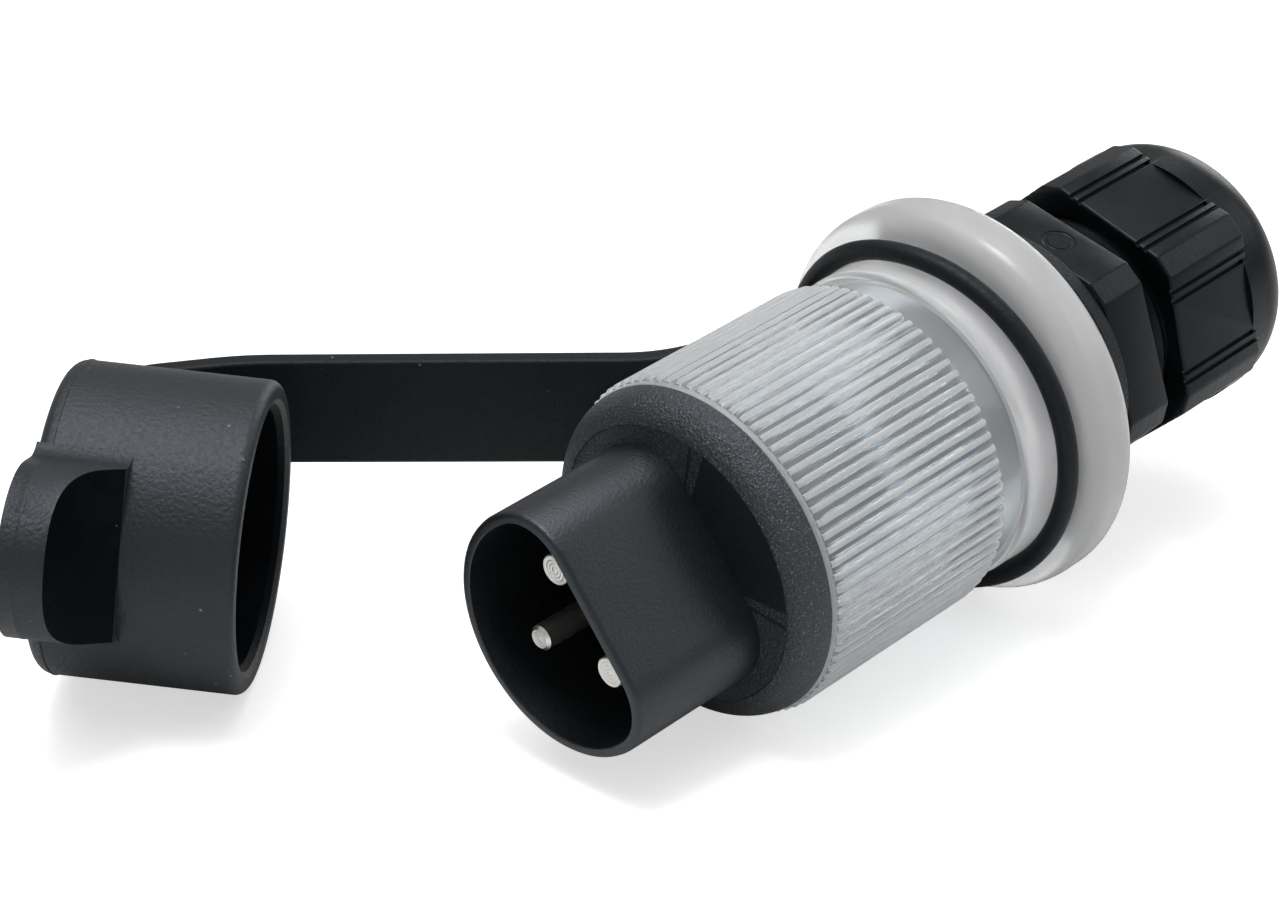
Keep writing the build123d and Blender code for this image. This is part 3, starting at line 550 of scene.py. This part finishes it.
base_outline = ([(STEM_END, STEM_RADIUS), (SEAL_END, STEM_RADIUS), (SEAL_END, SEAL_SEAT),
                 (SEAL_START, SEAL_SEAT), (SEAL_START, STEM_RADIUS), (0.0, STEM_RADIUS), (0.0, BASE_RADIUS)]
                + arc(0.0, BASE_RADIUS - BASE_ROUND, BASE_ROUND, 90, 170, 16)
                + [(BASE_FACE - 0.08, BASE_RECESS + 0.2), (BASE_FACE - 0.02, BASE_RECESS + 0.14),
                   (BASE_FACE, BASE_RECESS), (BASE_FACE, 2.0), (BASE_FACE, 0.0)])
base = turned("carrier_base", base_outline, 192, filled=True)
carrier = combine(base, seat(nose, Matrix.Rotation(math.radians(NOSE_ROLL), 4, "Z")), "UNION")
carrier.name = "contact_carrier_moulding"

# Pins: contact, shank and terminal barrel, turned from one bar

PIN_TIP = -14.7
SHANK_STEP = 0.3
BARREL_START = 4.4
BARREL_RADIUS = 2.2
PIN_SLIP = 0.05
SCREW_STATION = 9.2
SCREW_HOLE = 1.3
SCREW_WAY = 1.4
WIRE_BORE = 1.2
WIRE_STOP = 6.4
# how far a cutter runs past what it cuts
CUT_PAST = 0.2
# lathe rings on the tip: places as parts of the tip's radius, half width and depth
TIP_RINGS = (0.75, 0.5, 0.25)
TIP_RING_HALF = 0.05
TIP_RING_DEPTH = 0.02
# radius, tip bevel, place towards the nose's flat and along the row, way the screw looks
PINS = (("line_pin", 1.4, 0.1, 1.05, 4.8, 90.0), ("neutral_pin", 1.4, 0.1, 1.05, -4.8, -90.0),
        ("earth_pin", 1.15, 0.3, -5.8, 0.0, 180.0))

for pin_name, pin_radius, bevel, away, beside, screw_way in PINS:
    place = at(0.0, NOSE_ROLL, away, beside)
    shank = pin_radius + SHANK_STEP
    seat_outline = [(-NOSE_FLOOR - CUT_PAST, shank + PIN_SLIP), (BARREL_START, shank + PIN_SLIP),
                    (BARREL_START, BARREL_RADIUS + PIN_SLIP),
                    (STEM_END + CUT_PAST, BARREL_RADIUS + PIN_SLIP), (STEM_END + CUT_PAST, 0.0)]
    combine(carrier, seat(turned("pin_seat", seat_outline, 48, filled=True), place), "DIFFERENCE")
    # faint rings from the lathe on the tip, out to its bevelled edge
    tip = [(PIN_TIP, pin_radius - bevel)]
    for part in TIP_RINGS:
        ring = (pin_radius - bevel) * part
        tip += [(PIN_TIP, ring + TIP_RING_HALF), (PIN_TIP + TIP_RING_DEPTH, ring),
                (PIN_TIP, ring - TIP_RING_HALF)]
    pin_outline = ([(WIRE_STOP, WIRE_BORE), (STEM_END, WIRE_BORE), (STEM_END, BARREL_RADIUS),
                    (BARREL_START, BARREL_RADIUS), (BARREL_START, shank), (-NOSE_FLOOR, shank),
                    (-NOSE_FLOOR, pin_radius), (PIN_TIP + bevel, pin_radius)] + tip + [(PIN_TIP, 0.0)])
    pin = turned(pin_name + "_bar", pin_outline, 64, filled=True)
    screw_hole = turned("screw_hole", [(0.0, SCREW_HOLE), (2.0 * BARREL_RADIUS, SCREW_HOLE),
                                       (2.0 * BARREL_RADIUS, 0.0)], 32, filled=True)
    seat(screw_hole, at(SCREW_STATION, screw_way) @ Matrix.Rotation(math.radians(90), 4, "Y"))
    combine(pin, screw_hole, "DIFFERENCE")
    smooth(pin, 30)
    seat(pin, PLUG @ place)
    paint(pin, SILVER)
    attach(pin, "root")
    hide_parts(pin_name)

    screw_way_out = turned("screw_way", [(0.0, SCREW_WAY), (STEM_RADIUS, SCREW_WAY), (STEM_RADIUS, 0.0)], 32,
                           filled=True)
    seat(screw_way_out, place @ at(SCREW_STATION, screw_way) @ Matrix.Rotation(math.radians(90), 4, "Y"))
    combine(carrier, screw_way_out, "DIFFERENCE")

smooth(carrier, 35)
seat(carrier, PLUG)
paint(carrier, BASE_GRAINED, NOSE_SATIN)
for face in carrier.data.polygons:
    station, away = plug_polar(face.center)
    in_pocket = station < 0.2 - NOSE_FLOOR and away < NOSE_RADIUS - NOSE_WALL
    if in_pocket or station < BASE_FACE - 0.3:
        face.material_index = 1
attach(carrier, "root")
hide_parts("contact_carrier", "terminal_block")

# Gland: body with its hexagon, and dome nut


def hexagon(name, flat_radius, corner_radius, roll, low, high, edge):
    """A spanner hexagon with its corners cut to facets and its ends bevelled."""
    point = flat_radius / math.cos(math.radians(30))
    fresh()
    bpy.ops.mesh.primitive_circle_add(vertices=6, radius=point * MM, fill_type="NGON",
                                      location=(0, 0, low * MM), rotation=(0, 0, math.radians(roll - 30)))
    piece = bpy.context.object
    piece.name = name
    bpy.ops.object.transform_apply(location=True, rotation=True, scale=True)
    edit_all()
    bpy.ops.mesh.bevel(offset=2 * (point - corner_radius) * MM, affect="VERTICES", segments=1)
    bpy.ops.mesh.select_all(action="SELECT")
    bpy.ops.mesh.extrude_region_move(TRANSFORM_OT_translate={"value": (0, 0, (high - low) * MM)})
    bpy.ops.mesh.select_all(action="SELECT")
    bpy.ops.mesh.normals_make_consistent(inside=False)
    bpy.ops.mesh.bevel(offset=edge * MM, segments=3, affect="EDGES")
    bpy.ops.object.mode_set(mode="OBJECT")
    return piece


def mark_facets(piece, roll, low, high, index):
    """The cut corners of a hexagon, and what lies on them, take another of the piece's finishes."""
    for face in piece.data.polygons:
        angle = math.degrees(math.atan2(face.normal.y, face.normal.x)) - roll
        off = abs((angle + 30) % 60 - 30)
        if off < 12 and abs(face.normal.z) < 0.3 and low * MM < face.center.z < high * MM:
            face.material_index = index


HEX_ROLL = 134.3
HEX_FLAT, HEX_CORNER = 12.5, 13.78
HEX_START, HEX_END = 42.8, 48.4
HEX_BEVEL = 0.25
HEX_CORE = 10.5
COLLAR_START = 41.2
COLLAR_RADIUS = 13.35
NECK_RADIUS = 10.9
NECK_END = 60.0
THREAD_PITCH = 1.5
THREAD_TURNS = 7
THREAD_ROOT = 10.35
# half widths of a thread's groove, at its mouth and at its root
THREAD_MOUTH_HALF, THREAD_ROOT_HALF = 0.55, 0.05
CLAW_END = 64.5
CLAW_ROOT, CLAW_TIP = 10.2, 9.5
CLAW_BORE = 8.7
CLAW_COUNT = 8
SLOT_SIZE = (3.0, 1.4, 6.2)
SLOT_RADIUS = 9.45
SLOT_BACK = 3.0
GROMMET_SEAT = 50.2
MARK_RADIUS = 1.35
MARK_SECTION = 0.3
MARK_FLATTEN = 0.7
GLAND_START = 31.0
GLAND_BORE = 7.0
SHANK_RADIUS = 9.9

gland_outline = [(GLAND_START, GLAND_BORE), (GLAND_START, SHANK_RADIUS), (COLLAR_START, SHANK_RADIUS),
                 (COLLAR_START, COLLAR_RADIUS - 0.2), (COLLAR_START + 0.2, COLLAR_RADIUS),
                 (HEX_START - 0.2, COLLAR_RADIUS), (HEX_START, COLLAR_RADIUS - 0.15),
                 (HEX_START, HEX_CORE), (HEX_END, HEX_CORE)]
for turn in range(THREAD_TURNS):
    middle = HEX_END + (turn + 0.5) * THREAD_PITCH
    gland_outline += [(middle - THREAD_MOUTH_HALF, NECK_RADIUS), (middle - THREAD_ROOT_HALF, THREAD_ROOT),
                      (middle + THREAD_ROOT_HALF, THREAD_ROOT), (middle + THREAD_MOUTH_HALF, NECK_RADIUS)]
gland_outline += [(NECK_END, NECK_RADIUS), (NECK_END, CLAW_ROOT), (CLAW_END, CLAW_TIP), (CLAW_END, CLAW_BORE),
                  (GROMMET_SEAT, CLAW_BORE), (GROMMET_SEAT, GLAND_BORE), (GLAND_START, GLAND_BORE)]
gland = turned("gland_body_moulding", gland_outline, 144)
spanner = hexagon("spanner", HEX_FLAT, HEX_CORNER, HEX_ROLL, HEX_START, HEX_END, HEX_BEVEL)
bore = turned("spanner_bore", [(HEX_START - 1, SHANK_RADIUS), (HEX_END + 1, SHANK_RADIUS),
                               (HEX_END + 1, 0.0)], 96, filled=True)
combine(spanner, bore, "DIFFERENCE")
combine(gland, spanner, "UNION")
# shallow round mark left by the mould on one flat
fresh()
bpy.ops.mesh.primitive_torus_add(major_radius=MARK_RADIUS * MM, minor_radius=MARK_SECTION * MM,
                                 major_segments=48, minor_segments=16)
mark = bpy.context.object
edit_all()
bpy.ops.transform.resize(value=(1, 1, MARK_FLATTEN), center_override=(0, 0, 0))
bpy.ops.object.mode_set(mode="OBJECT")
mark_place = at((HEX_START + HEX_END) / 2, HEX_ROLL - 30, HEX_FLAT + 0.05)
seat(mark, mark_place @ Matrix.Rotation(math.radians(90), 4, "Y"))
combine(gland, mark, "DIFFERENCE")
slots = copies(box(SLOT_SIZE, Matrix()), CLAW_COUNT)
for turn, slot in enumerate(slots):
    seat(slot, at(CLAW_END - SLOT_BACK, turn * 360.0 / CLAW_COUNT, SLOT_RADIUS))
combine(gland, join("claw_slots", slots), "DIFFERENCE")
smooth(gland, 32)
paint(gland, GLAND_SMOOTH, GLAND_ERODED, GLAND_LINED)
mark_facets(gland, HEX_ROLL, HEX_START, HEX_END, 2)
for face in gland.data.polygons:
    if COLLAR_START * MM - 1e-6 < face.center.z < HEX_START * MM + 1e-6:
        face.material_index = 1
seat(gland, PLUG)
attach(gland, "root")
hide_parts("gland_body")

NUT_ROLL = 138.6
NUT_FLAT, NUT_CORNER = 12.55, 13.83
NUT_BEVEL = 0.3
NUT_START, NUT_HEX_END, NUT_END = 51.7, 63.0, 69.6
DOME_RADIUS = 12.95
DOME_ROUND = 4.6
NUT_BORE = 11.05
NUT_MOUTH = 7.2
MOUTH_START, MOUTH_END = 68.0, 69.2
# grooves on each flat: places across it, depth with what stands proud, and width
GROOVES = (-4.5, -3.55, 3.55, 4.5)
GROOVE_DEPTH, GROOVE_WIDTH = 0.7, 0.5
DOME_OVERLAP = 0.6

nut = hexagon("gland_nut_moulding", NUT_FLAT, NUT_CORNER, NUT_ROLL, NUT_START, NUT_HEX_END, NUT_BEVEL)
places = [at((NUT_START + NUT_HEX_END) / 2, NUT_ROLL + 30 + 60 * side, NUT_FLAT, offset)
          for side in range(6) for offset in GROOVES]
groove = box((GROOVE_DEPTH, GROOVE_WIDTH, NUT_HEX_END - NUT_START + 1.0), Matrix())
cutters = copies(groove, len(places))
for cutter, place in zip(cutters, places):
    seat(cutter, place)
combine(nut, join("nut_grooves", cutters), "DIFFERENCE")
dome_start = NUT_HEX_END - DOME_OVERLAP
dome_outline = ([(dome_start, DOME_RADIUS - 1.0), (dome_start, DOME_RADIUS)]
                + arc(NUT_END - DOME_ROUND, DOME_RADIUS - DOME_ROUND, DOME_ROUND, 90, 0, 20)
                + [(NUT_END, 0.0)])
combine(nut, turned("dome", dome_outline, 192, filled=True), "UNION")
bore_outline = [(NUT_START - 0.5, NUT_BORE), (NUT_HEX_END, NUT_BORE), (MOUTH_START, NUT_MOUTH),
                (MOUTH_END, NUT_MOUTH), (NUT_END + 0.5, NUT_MOUTH + 0.9), (NUT_END + 0.5, 0.0)]
combine(nut, turned("nut_bore", bore_outline, 128, filled=True), "DIFFERENCE")
smooth(nut, 32)
paint(nut, GLAND_SMOOTH, GLAND_LINED)
mark_facets(nut, NUT_ROLL, NUT_START, NUT_HEX_END, 1)
seat(nut, PLUG)
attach(nut, "root")
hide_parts("gland_nut")

# Protective cap: cup, pull tab, strap and neck ring in one rubber moulding

CAP_RADIUS = 13.83
CAP_LENGTH = 18.0
CAP_EDGE = 0.9
CAP_BORE = 11.35
CAP_DEPTH = 15.4
CAP_LIP = 0.9
CAP_END_ROUND = 1.3
# station of the parting line, and height of the fine ridge that it leaves
PARTING = 16.62
FLASH = 0.08
# how the cap lies: tilt and heading in degrees, place of its mouth from the plug's front face
CAP_DROOP = 4.62
CAP_HEADING = -50.5
MOUTH_AHEAD, MOUTH_BESIDE = 22.2, 31.1
droop = math.radians(CAP_DROOP)
heading = math.radians(CAP_HEADING)
ahead_x, ahead_y = math.cos(heading), math.sin(heading)
cap_out = Vector((math.cos(droop) * ahead_x, math.cos(droop) * ahead_y, -math.sin(droop)))
cap_up = Vector((math.sin(droop) * ahead_x, math.sin(droop) * ahead_y, math.cos(droop)))
cap_near = cap_out.cross(cap_up)
cap_height = (CAP_RADIUS - CAP_EDGE) * math.cos(droop) + CAP_EDGE - CAP_EDGE * math.sin(droop)
cap_mouth = Vector((plug_front.x - MOUTH_AHEAD * MM, plug_front.y + MOUTH_BESIDE * MM, cap_height * MM))
CAP = axes_matrix(cap_near, cap_up, -cap_out, cap_mouth)

cup_outline = ([(CAP_DEPTH, 8.0), (CAP_DEPTH, CAP_BORE - 0.75), (CAP_DEPTH - 0.2, CAP_BORE - 0.25),
                (CAP_DEPTH - 0.7, CAP_BORE), (CAP_LIP, CAP_BORE), (0.35, CAP_BORE + CAP_LIP / 2),
                (0.0, CAP_BORE + CAP_LIP), (0.0, CAP_RADIUS - CAP_EDGE)]
               + arc(CAP_EDGE, CAP_RADIUS - CAP_EDGE, CAP_EDGE, 180, 90, 8)
               + [(PARTING - FLASH, CAP_RADIUS), (PARTING - FLASH / 2, CAP_RADIUS + FLASH),
                  (PARTING + FLASH / 2, CAP_RADIUS + FLASH), (PARTING + FLASH, CAP_RADIUS)]
               + arc(CAP_LENGTH - CAP_END_ROUND, CAP_RADIUS - CAP_END_ROUND, CAP_END_ROUND, 90, 0, 8)
               + [(CAP_LENGTH, 4.0), (CAP_LENGTH, 0.0)])
cap = turned("rubber_cap", cup_outline, 192, filled=True)

TAB_ROLL = 17.0
TAB_REACH = 22.6
TAB_HALF = 7.4
TAB_ROOT = 8.3
TAB_BLEND = 2.5
TAB_INNER = 12.6
TAB_EDGE = 0.45
SCOOP_RADIUS = 10.54
SCOOP_X = 22.32
SCOOP_Z = 3.46
blend_x = math.sqrt((CAP_RADIUS + TAB_BLEND) ** 2 - (TAB_HALF + TAB_BLEND) ** 2)
blend_turn = math.pi / 2 - math.atan2(TAB_HALF + TAB_BLEND, blend_x)
foot = CAP_RADIUS / (CAP_RADIUS + TAB_BLEND)
foot_x, foot_y = blend_x * foot, (TAB_HALF + TAB_BLEND) * foot
inner = TAB_INNER / CAP_RADIUS

fresh()
bpy.ops.mesh.primitive_circle_add(vertices=3, radius=0.1 * MM,
                                  location=(foot_x * MM, -foot_y * MM, CAP_LENGTH * MM))
tab = bpy.context.object
tab.name = "pull_tab"
bpy.ops.object.transform_apply(location=True, rotation=True, scale=True)
edit_all()
bpy.ops.mesh.merge(type="CENTER")
end_z = CAP_LENGTH * MM
bpy.ops.mesh.spin(steps=8, angle=blend_turn, axis=(0, 0, 1),
                  center=(blend_x * MM, -(TAB_HALF + TAB_BLEND) * MM, end_z))
bpy.ops.mesh.extrude_region_move(
    TRANSFORM_OT_translate={"value": ((TAB_REACH - TAB_HALF - blend_x) * MM, 0, 0)})
bpy.ops.mesh.spin(steps=40, angle=-math.pi, axis=(0, 0, 1), center=((TAB_REACH - TAB_HALF) * MM, 0, end_z))
bpy.ops.mesh.extrude_region_move(
    TRANSFORM_OT_translate={"value": ((blend_x - TAB_REACH + TAB_HALF) * MM, 0, 0)})
bpy.ops.mesh.spin(steps=8, angle=blend_turn, axis=(0, 0, 1),
                  center=(blend_x * MM, (TAB_HALF + TAB_BLEND) * MM, end_z))
bpy.ops.mesh.extrude_region_move(
    TRANSFORM_OT_translate={"value": (foot_x * (inner - 1) * MM, foot_y * (inner - 1) * MM, 0)})
bpy.ops.mesh.spin(steps=16, angle=2 * math.atan2(foot_y, foot_x), axis=(0, 0, 1), center=(0, 0, end_z))
bpy.ops.mesh.select_all(action="SELECT")
bpy.ops.mesh.edge_face_add()
bpy.ops.mesh.select_all(action="SELECT")
# the parting line runs round the tab as a fine ridge
for depth, grow in ((1.36, 1.0), (0.06, 1.004), (0.08, 1.0), (0.06, 1 / 1.004), (TAB_ROOT - 1.56, 1.0)):
    bpy.ops.mesh.extrude_region_move(TRANSFORM_OT_translate={"value": (0, 0, -depth * MM)})
    if grow != 1.0:
        bpy.ops.transform.resize(value=(grow, grow, 1), center_override=(TAB_REACH / 2 * MM, 0, 0))
bpy.ops.mesh.select_all(action="SELECT")
bpy.ops.mesh.normals_make_consistent(inside=False)
bpy.ops.object.mode_set(mode="OBJECT")
scoop = turned("scoop", [(-15.0, SCOOP_RADIUS), (15.0, SCOOP_RADIUS), (15.0, 0.0)], 128, filled=True)
seat(scoop, Matrix.Translation((SCOOP_X * MM, 0, SCOOP_Z * MM)) @ Matrix.Rotation(math.radians(90), 4, "X"))
combine(tab, scoop, "DIFFERENCE")
break_edges(tab, TAB_EDGE, 50)
seat(tab, at(0.0, TAB_ROLL))
combine(cap, tab, "UNION")
seat(cap, CAP)

STRAP_WIDTH = 10.5
STRAP_THICKNESS = 2.0
STRAP_GAP = 0.5
STRAP_EDGE = 0.4
STRAP_INSET = 1.6
STRAP_ASIDE = 1.24
# corners of the strap's route from the plug's front face, and the rounds at them
STRAP_LEAVES = 16.8
STRAP_CORNERS = ((-9.1, 49.1), (-18.3, 56.2))
STRAP_BENDS = (12.0, 25.0, 4.5)
RING_STATION = 29.15
RING_RADIUS = 16.19
RING_SECTION = 0.94
RING_LEAN = 3.9
# the strap draws the far side of the ring towards the flange; the pull fades out over the spread
RING_PULL = 2.0
RING_PULL_SPREAD = 20.0
ring_middle = plug_front + axis_dir * RING_STATION * MM
lean = math.tan(math.radians(RING_LEAN))
ring_dir = (axis_dir + side_dir * lean).normalized()
ring_far = ring_middle + side_dir * RING_RADIUS * MM - axis_dir * RING_RADIUS * lean * MM
strap_start = Vector((ring_far.x + (RING_SECTION + RING_PULL) * MM,
                      plug_front.y + (RIB_CREST + STRAP_GAP + STRAP_THICKNESS / 2) * MM, ring_middle.z))
cap_end = cap_mouth - cap_out * CAP_LENGTH * MM
strap_root = cap_end + cap_out * STRAP_INSET * MM - cap_near * (CAP_RADIUS - STRAP_ASIDE) * MM
strap_run = Vector((strap_root.x - strap_start.x, strap_root.y - strap_start.y, 0))
strap_slope = (strap_root.z - strap_start.z) / strap_run.length_squared
strap_rise = Vector((-strap_slope * strap_run.x, -strap_slope * strap_run.y, 1)).normalized()


def strap_point(plan_x, plan_y):
    """Point of the strap's middle line, on its gentle slope from the ring to the cap."""
    step = Vector((plan_x - strap_start.x, plan_y - strap_start.y, 0))
    return strap_start + step + Vector((0, 0, strap_slope * step.dot(strap_run)))


def rounded_route(points, bends, steps):
    """A route along straight runs, with a round of the given radius at each inner point."""
    route = [points[0]]
    for before, corner, after, bend in zip(points, points[1:], points[2:], bends):
        back = (before - corner).normalized()
        ahead = (after - corner).normalized()
        half = back.angle(ahead) / 2
        middle = corner + (back + ahead).normalized() * bend * MM / math.sin(half)
        first = corner + back * bend * MM / math.tan(half) - middle
        last = corner + ahead * bend * MM / math.tan(half) - middle
        route += [middle + first.slerp(last, i / steps).normalized() * bend * MM for i in range(steps + 1)]
    return route + [points[-1]]


corners = [strap_point(plug_front.x + STRAP_LEAVES * MM, strap_start.y)]
corners += [strap_point(plug_front.x + x * MM, plug_front.y + y * MM) for x, y in STRAP_CORNERS]
route = rounded_route([strap_start] + corners + [strap_root], STRAP_BENDS, 12)
fresh()
bpy.ops.mesh.primitive_circle_add(vertices=3, radius=0.1 * MM,
                                  location=route[0] - strap_rise * STRAP_WIDTH / 2 * MM)
strap = bpy.context.object
strap.name = "strap"
bpy.ops.object.transform_apply(location=True, rotation=True, scale=True)
edit_all()
bpy.ops.mesh.merge(type="CENTER")
bpy.ops.mesh.extrude_region_move(TRANSFORM_OT_translate={"value": strap_rise * STRAP_WIDTH * MM})
bpy.ops.mesh.select_all(action="SELECT")
for here, there in zip(route, route[1:]):
    bpy.ops.mesh.extrude_region_move(TRANSFORM_OT_translate={"value": there - here})
bpy.ops.object.mode_set(mode="OBJECT")
pick(strap)
thicken = strap.modifiers.new("thickness", "SOLIDIFY")
thicken.thickness = STRAP_THICKNESS * MM
thicken.offset = 0.0
thicken.use_even_offset = True
bpy.ops.object.modifier_apply(modifier=thicken.name)
break_edges(strap, STRAP_EDGE, 60)
combine(cap, strap, "UNION")
fresh()
bpy.ops.mesh.primitive_torus_add(major_radius=RING_RADIUS * MM, minor_radius=RING_SECTION * MM,
                                 major_segments=160, minor_segments=24)
ring = bpy.context.object
seat(ring, Matrix.Translation(ring_middle) @ ring_dir.to_track_quat("Z", "Y").to_matrix().to_4x4())
bpy.ops.object.mode_set(mode="EDIT")
bpy.ops.mesh.select_all(action="DESELECT")
loop = bmesh.from_edit_mesh(ring.data)
for vert in loop.verts:
    vert.select = (vert.co - ring_middle).dot(side_dir) > (RING_RADIUS - 0.5 * RING_SECTION) * MM
loop.select_flush(True)
bmesh.update_edit_mesh(ring.data)
bpy.ops.transform.translate(value=axis_dir * RING_PULL * MM, use_proportional_edit=True,
                            proportional_edit_falloff="SMOOTH", proportional_size=RING_PULL_SPREAD * MM)
bpy.ops.object.mode_set(mode="OBJECT")
combine(cap, ring, "UNION")
smooth(cap, 35)
paint(cap, RUBBER, SHADED_STRAP_RUBBER, SHADED_HOLLOW_RUBBER)
to_cap = CAP.inverted()
to_tab = (CAP @ at(0.0, TAB_ROLL)).inverted()
for face in cap.data.polygons:
    in_cap = to_cap @ face.center / MM
    in_tab = to_tab @ face.center / MM
    in_bore = in_cap.xy.length < CAP_BORE + 0.55 and 0.0 < in_cap.z < CAP_DEPTH + 0.1
    on_tab = in_tab.xy.length > CAP_RADIUS + 0.15 and in_tab.x > 0.0 and abs(in_tab.y) < TAB_HALF
    off_scoop = math.hypot(in_tab.x - SCOOP_X, in_tab.z - SCOOP_Z) - SCOOP_RADIUS
    # painted shade: the cap's bore and the tab's scoop take the copy with almost no sheen
    if in_bore or (on_tab and 0.0 < in_tab.z < CAP_LENGTH and abs(off_scoop) < 0.1):
        face.material_index = 2
    # strap and ring: the duller copy, painted shade on the strap in its nook between plug and cap
    elif in_cap.z < -1.0 or (in_cap.x < 2.0 and in_cap.xy.length > CAP_RADIUS + 0.2):
        face.material_index = 1
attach(cap, "root")
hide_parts("protective_cap")

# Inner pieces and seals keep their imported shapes

FINISHES = {"carrier_seal": plain_finish("EPDM seal", "#1A1B1C", 0.6),
            "gland_gasket": plain_finish("EPDM gasket", "#161718", 0.6),
            "gland_grommet": plain_finish("EPDM grommet", "#141516", 0.6),
            "line_screw": plain_finish("zinc-plated steel", "#B9BCC0", 0.35, 1.0),
            "led_board": plain_finish("glass laminate", "#2F5A3A", 0.5),
            "led_lamp": plain_finish("clear lamp epoxy", "#D8DDE2", 0.25),
            "series_resistor": plain_finish("resistor lacquer", "#C8B48C", 0.45),
            "led_diode": plain_finish("diode epoxy", "#2A2A2C", 0.4),
            "led_lead_line": plain_finish("brown PVC", "#5B3A26", 0.5),
            "led_lead_neutral": plain_finish("blue PVC", "#2F5FA8", 0.5)}
FINISHES["neutral_screw"] = FINISHES["earth_screw"] = FINISHES["line_screw"]
for node_name, finish in FINISHES.items():
    for holder in frame["nodes"][node_name].material_slots:
        holder.material = finish

# Camera, light and floor

# the camera was fitted to the photograph's ellipses and corners: its place is from the plug's front
# face, its height from the floor, and its pitch and heading are in degrees
SENSOR_WIDTH = 36.0
LENS = 93.15
CAMERA_X, CAMERA_Y, CAMERA_HEIGHT = -181.3, -171.6, 148.5
CAMERA_PITCH = 26.28
CAMERA_HEADING = -45.45
camera_data = bpy.data.cameras.new("camera")
camera = bpy.data.objects.new("camera", camera_data)
bpy.context.scene.collection.objects.link(camera)
bpy.context.scene.camera = camera
camera_data.sensor_fit = "HORIZONTAL"
camera_data.sensor_width = SENSOR_WIDTH
camera_data.lens = LENS
camera_data.clip_start = 0.01
camera_data.clip_end = 20.0
camera.location = (plug_front.x + CAMERA_X * MM, plug_front.y + CAMERA_Y * MM, CAMERA_HEIGHT * MM)
camera.rotation_euler = (math.radians(90 - CAMERA_PITCH), 0, math.radians(CAMERA_HEADING))

LIT_POINT = Vector((0, 0, 0.02))


def softbox(name, place, size, power):
    """A large area light that faces the middle of the plug; metres and watts."""
    data = bpy.data.lights.new(name, "AREA")
    data.shape = "RECTANGLE"
    data.size, data.size_y = size
    data.energy = power
    lamp = bpy.data.objects.new(name, data)
    bpy.context.scene.collection.objects.link(lamp)
    lamp.location = place
    lamp.rotation_euler = (LIT_POINT - Vector(place)).to_track_quat("-Z", "Y").to_euler()


softbox("overhead", (-0.05, 0.10, 0.90), (1.0, 1.0), 5.2)
softbox("key", (-0.15, -0.02, 0.85), (0.25, 0.25), 2.2)
softbox("front", (0.50, -0.45, 0.45), (0.6, 0.4), 0.9)
softbox("rim", (0.70, 0.20, 0.25), (0.3, 0.4), 1.0)


def looked_at(tree):
    """One for what is seen by eye or through the frosted wall, nought for light that falls."""
    path = add(tree, "ShaderNodeLightPath")
    seen = add(tree, "ShaderNodeMath", {0: path.outputs["Is Camera Ray"],
                                        1: path.outputs["Is Transmission Ray"]}, operation="MAXIMUM")
    return seen.outputs[0]


# white studio round the object: plain fill on it, white where it is looked at
WHITE = linear("#FFFFFF")
SKY_FILL = 0.34
FLOOR_GLOW = 0.6
world = bpy.data.worlds.new("studio")
bpy.context.scene.world = world
world.use_nodes = True
sky = world.node_tree
sky_level = add(sky, "ShaderNodeMapRange", {"Value": looked_at(sky), "To Min": SKY_FILL, "To Max": 1.0})
feed(sky, sky.nodes["Background"], {"Color": WHITE, "Strength": sky_level.outputs["Result"]})

fresh()
bpy.ops.mesh.primitive_plane_add(size=4.0, location=(0, 0, -0.0002))
floor = bpy.context.object
floor.name = "floor"
floor_paint, floor_tree, floor_shader, _ = begin("white paper sweep")
floor_glow = add(floor_tree, "ShaderNodeMath", {0: looked_at(floor_tree), 1: FLOOR_GLOW},
                 operation="MULTIPLY")
feed(floor_tree, floor_shader, {"Base Color": linear("#E2E2E2"), "Roughness": 0.9,
                                "Specular IOR Level": 0.1, "Emission Color": WHITE,
                                "Emission Strength": floor_glow.outputs[0]})
paint(floor, floor_paint)

bpy.context.scene.view_settings.view_transform = "Standard"
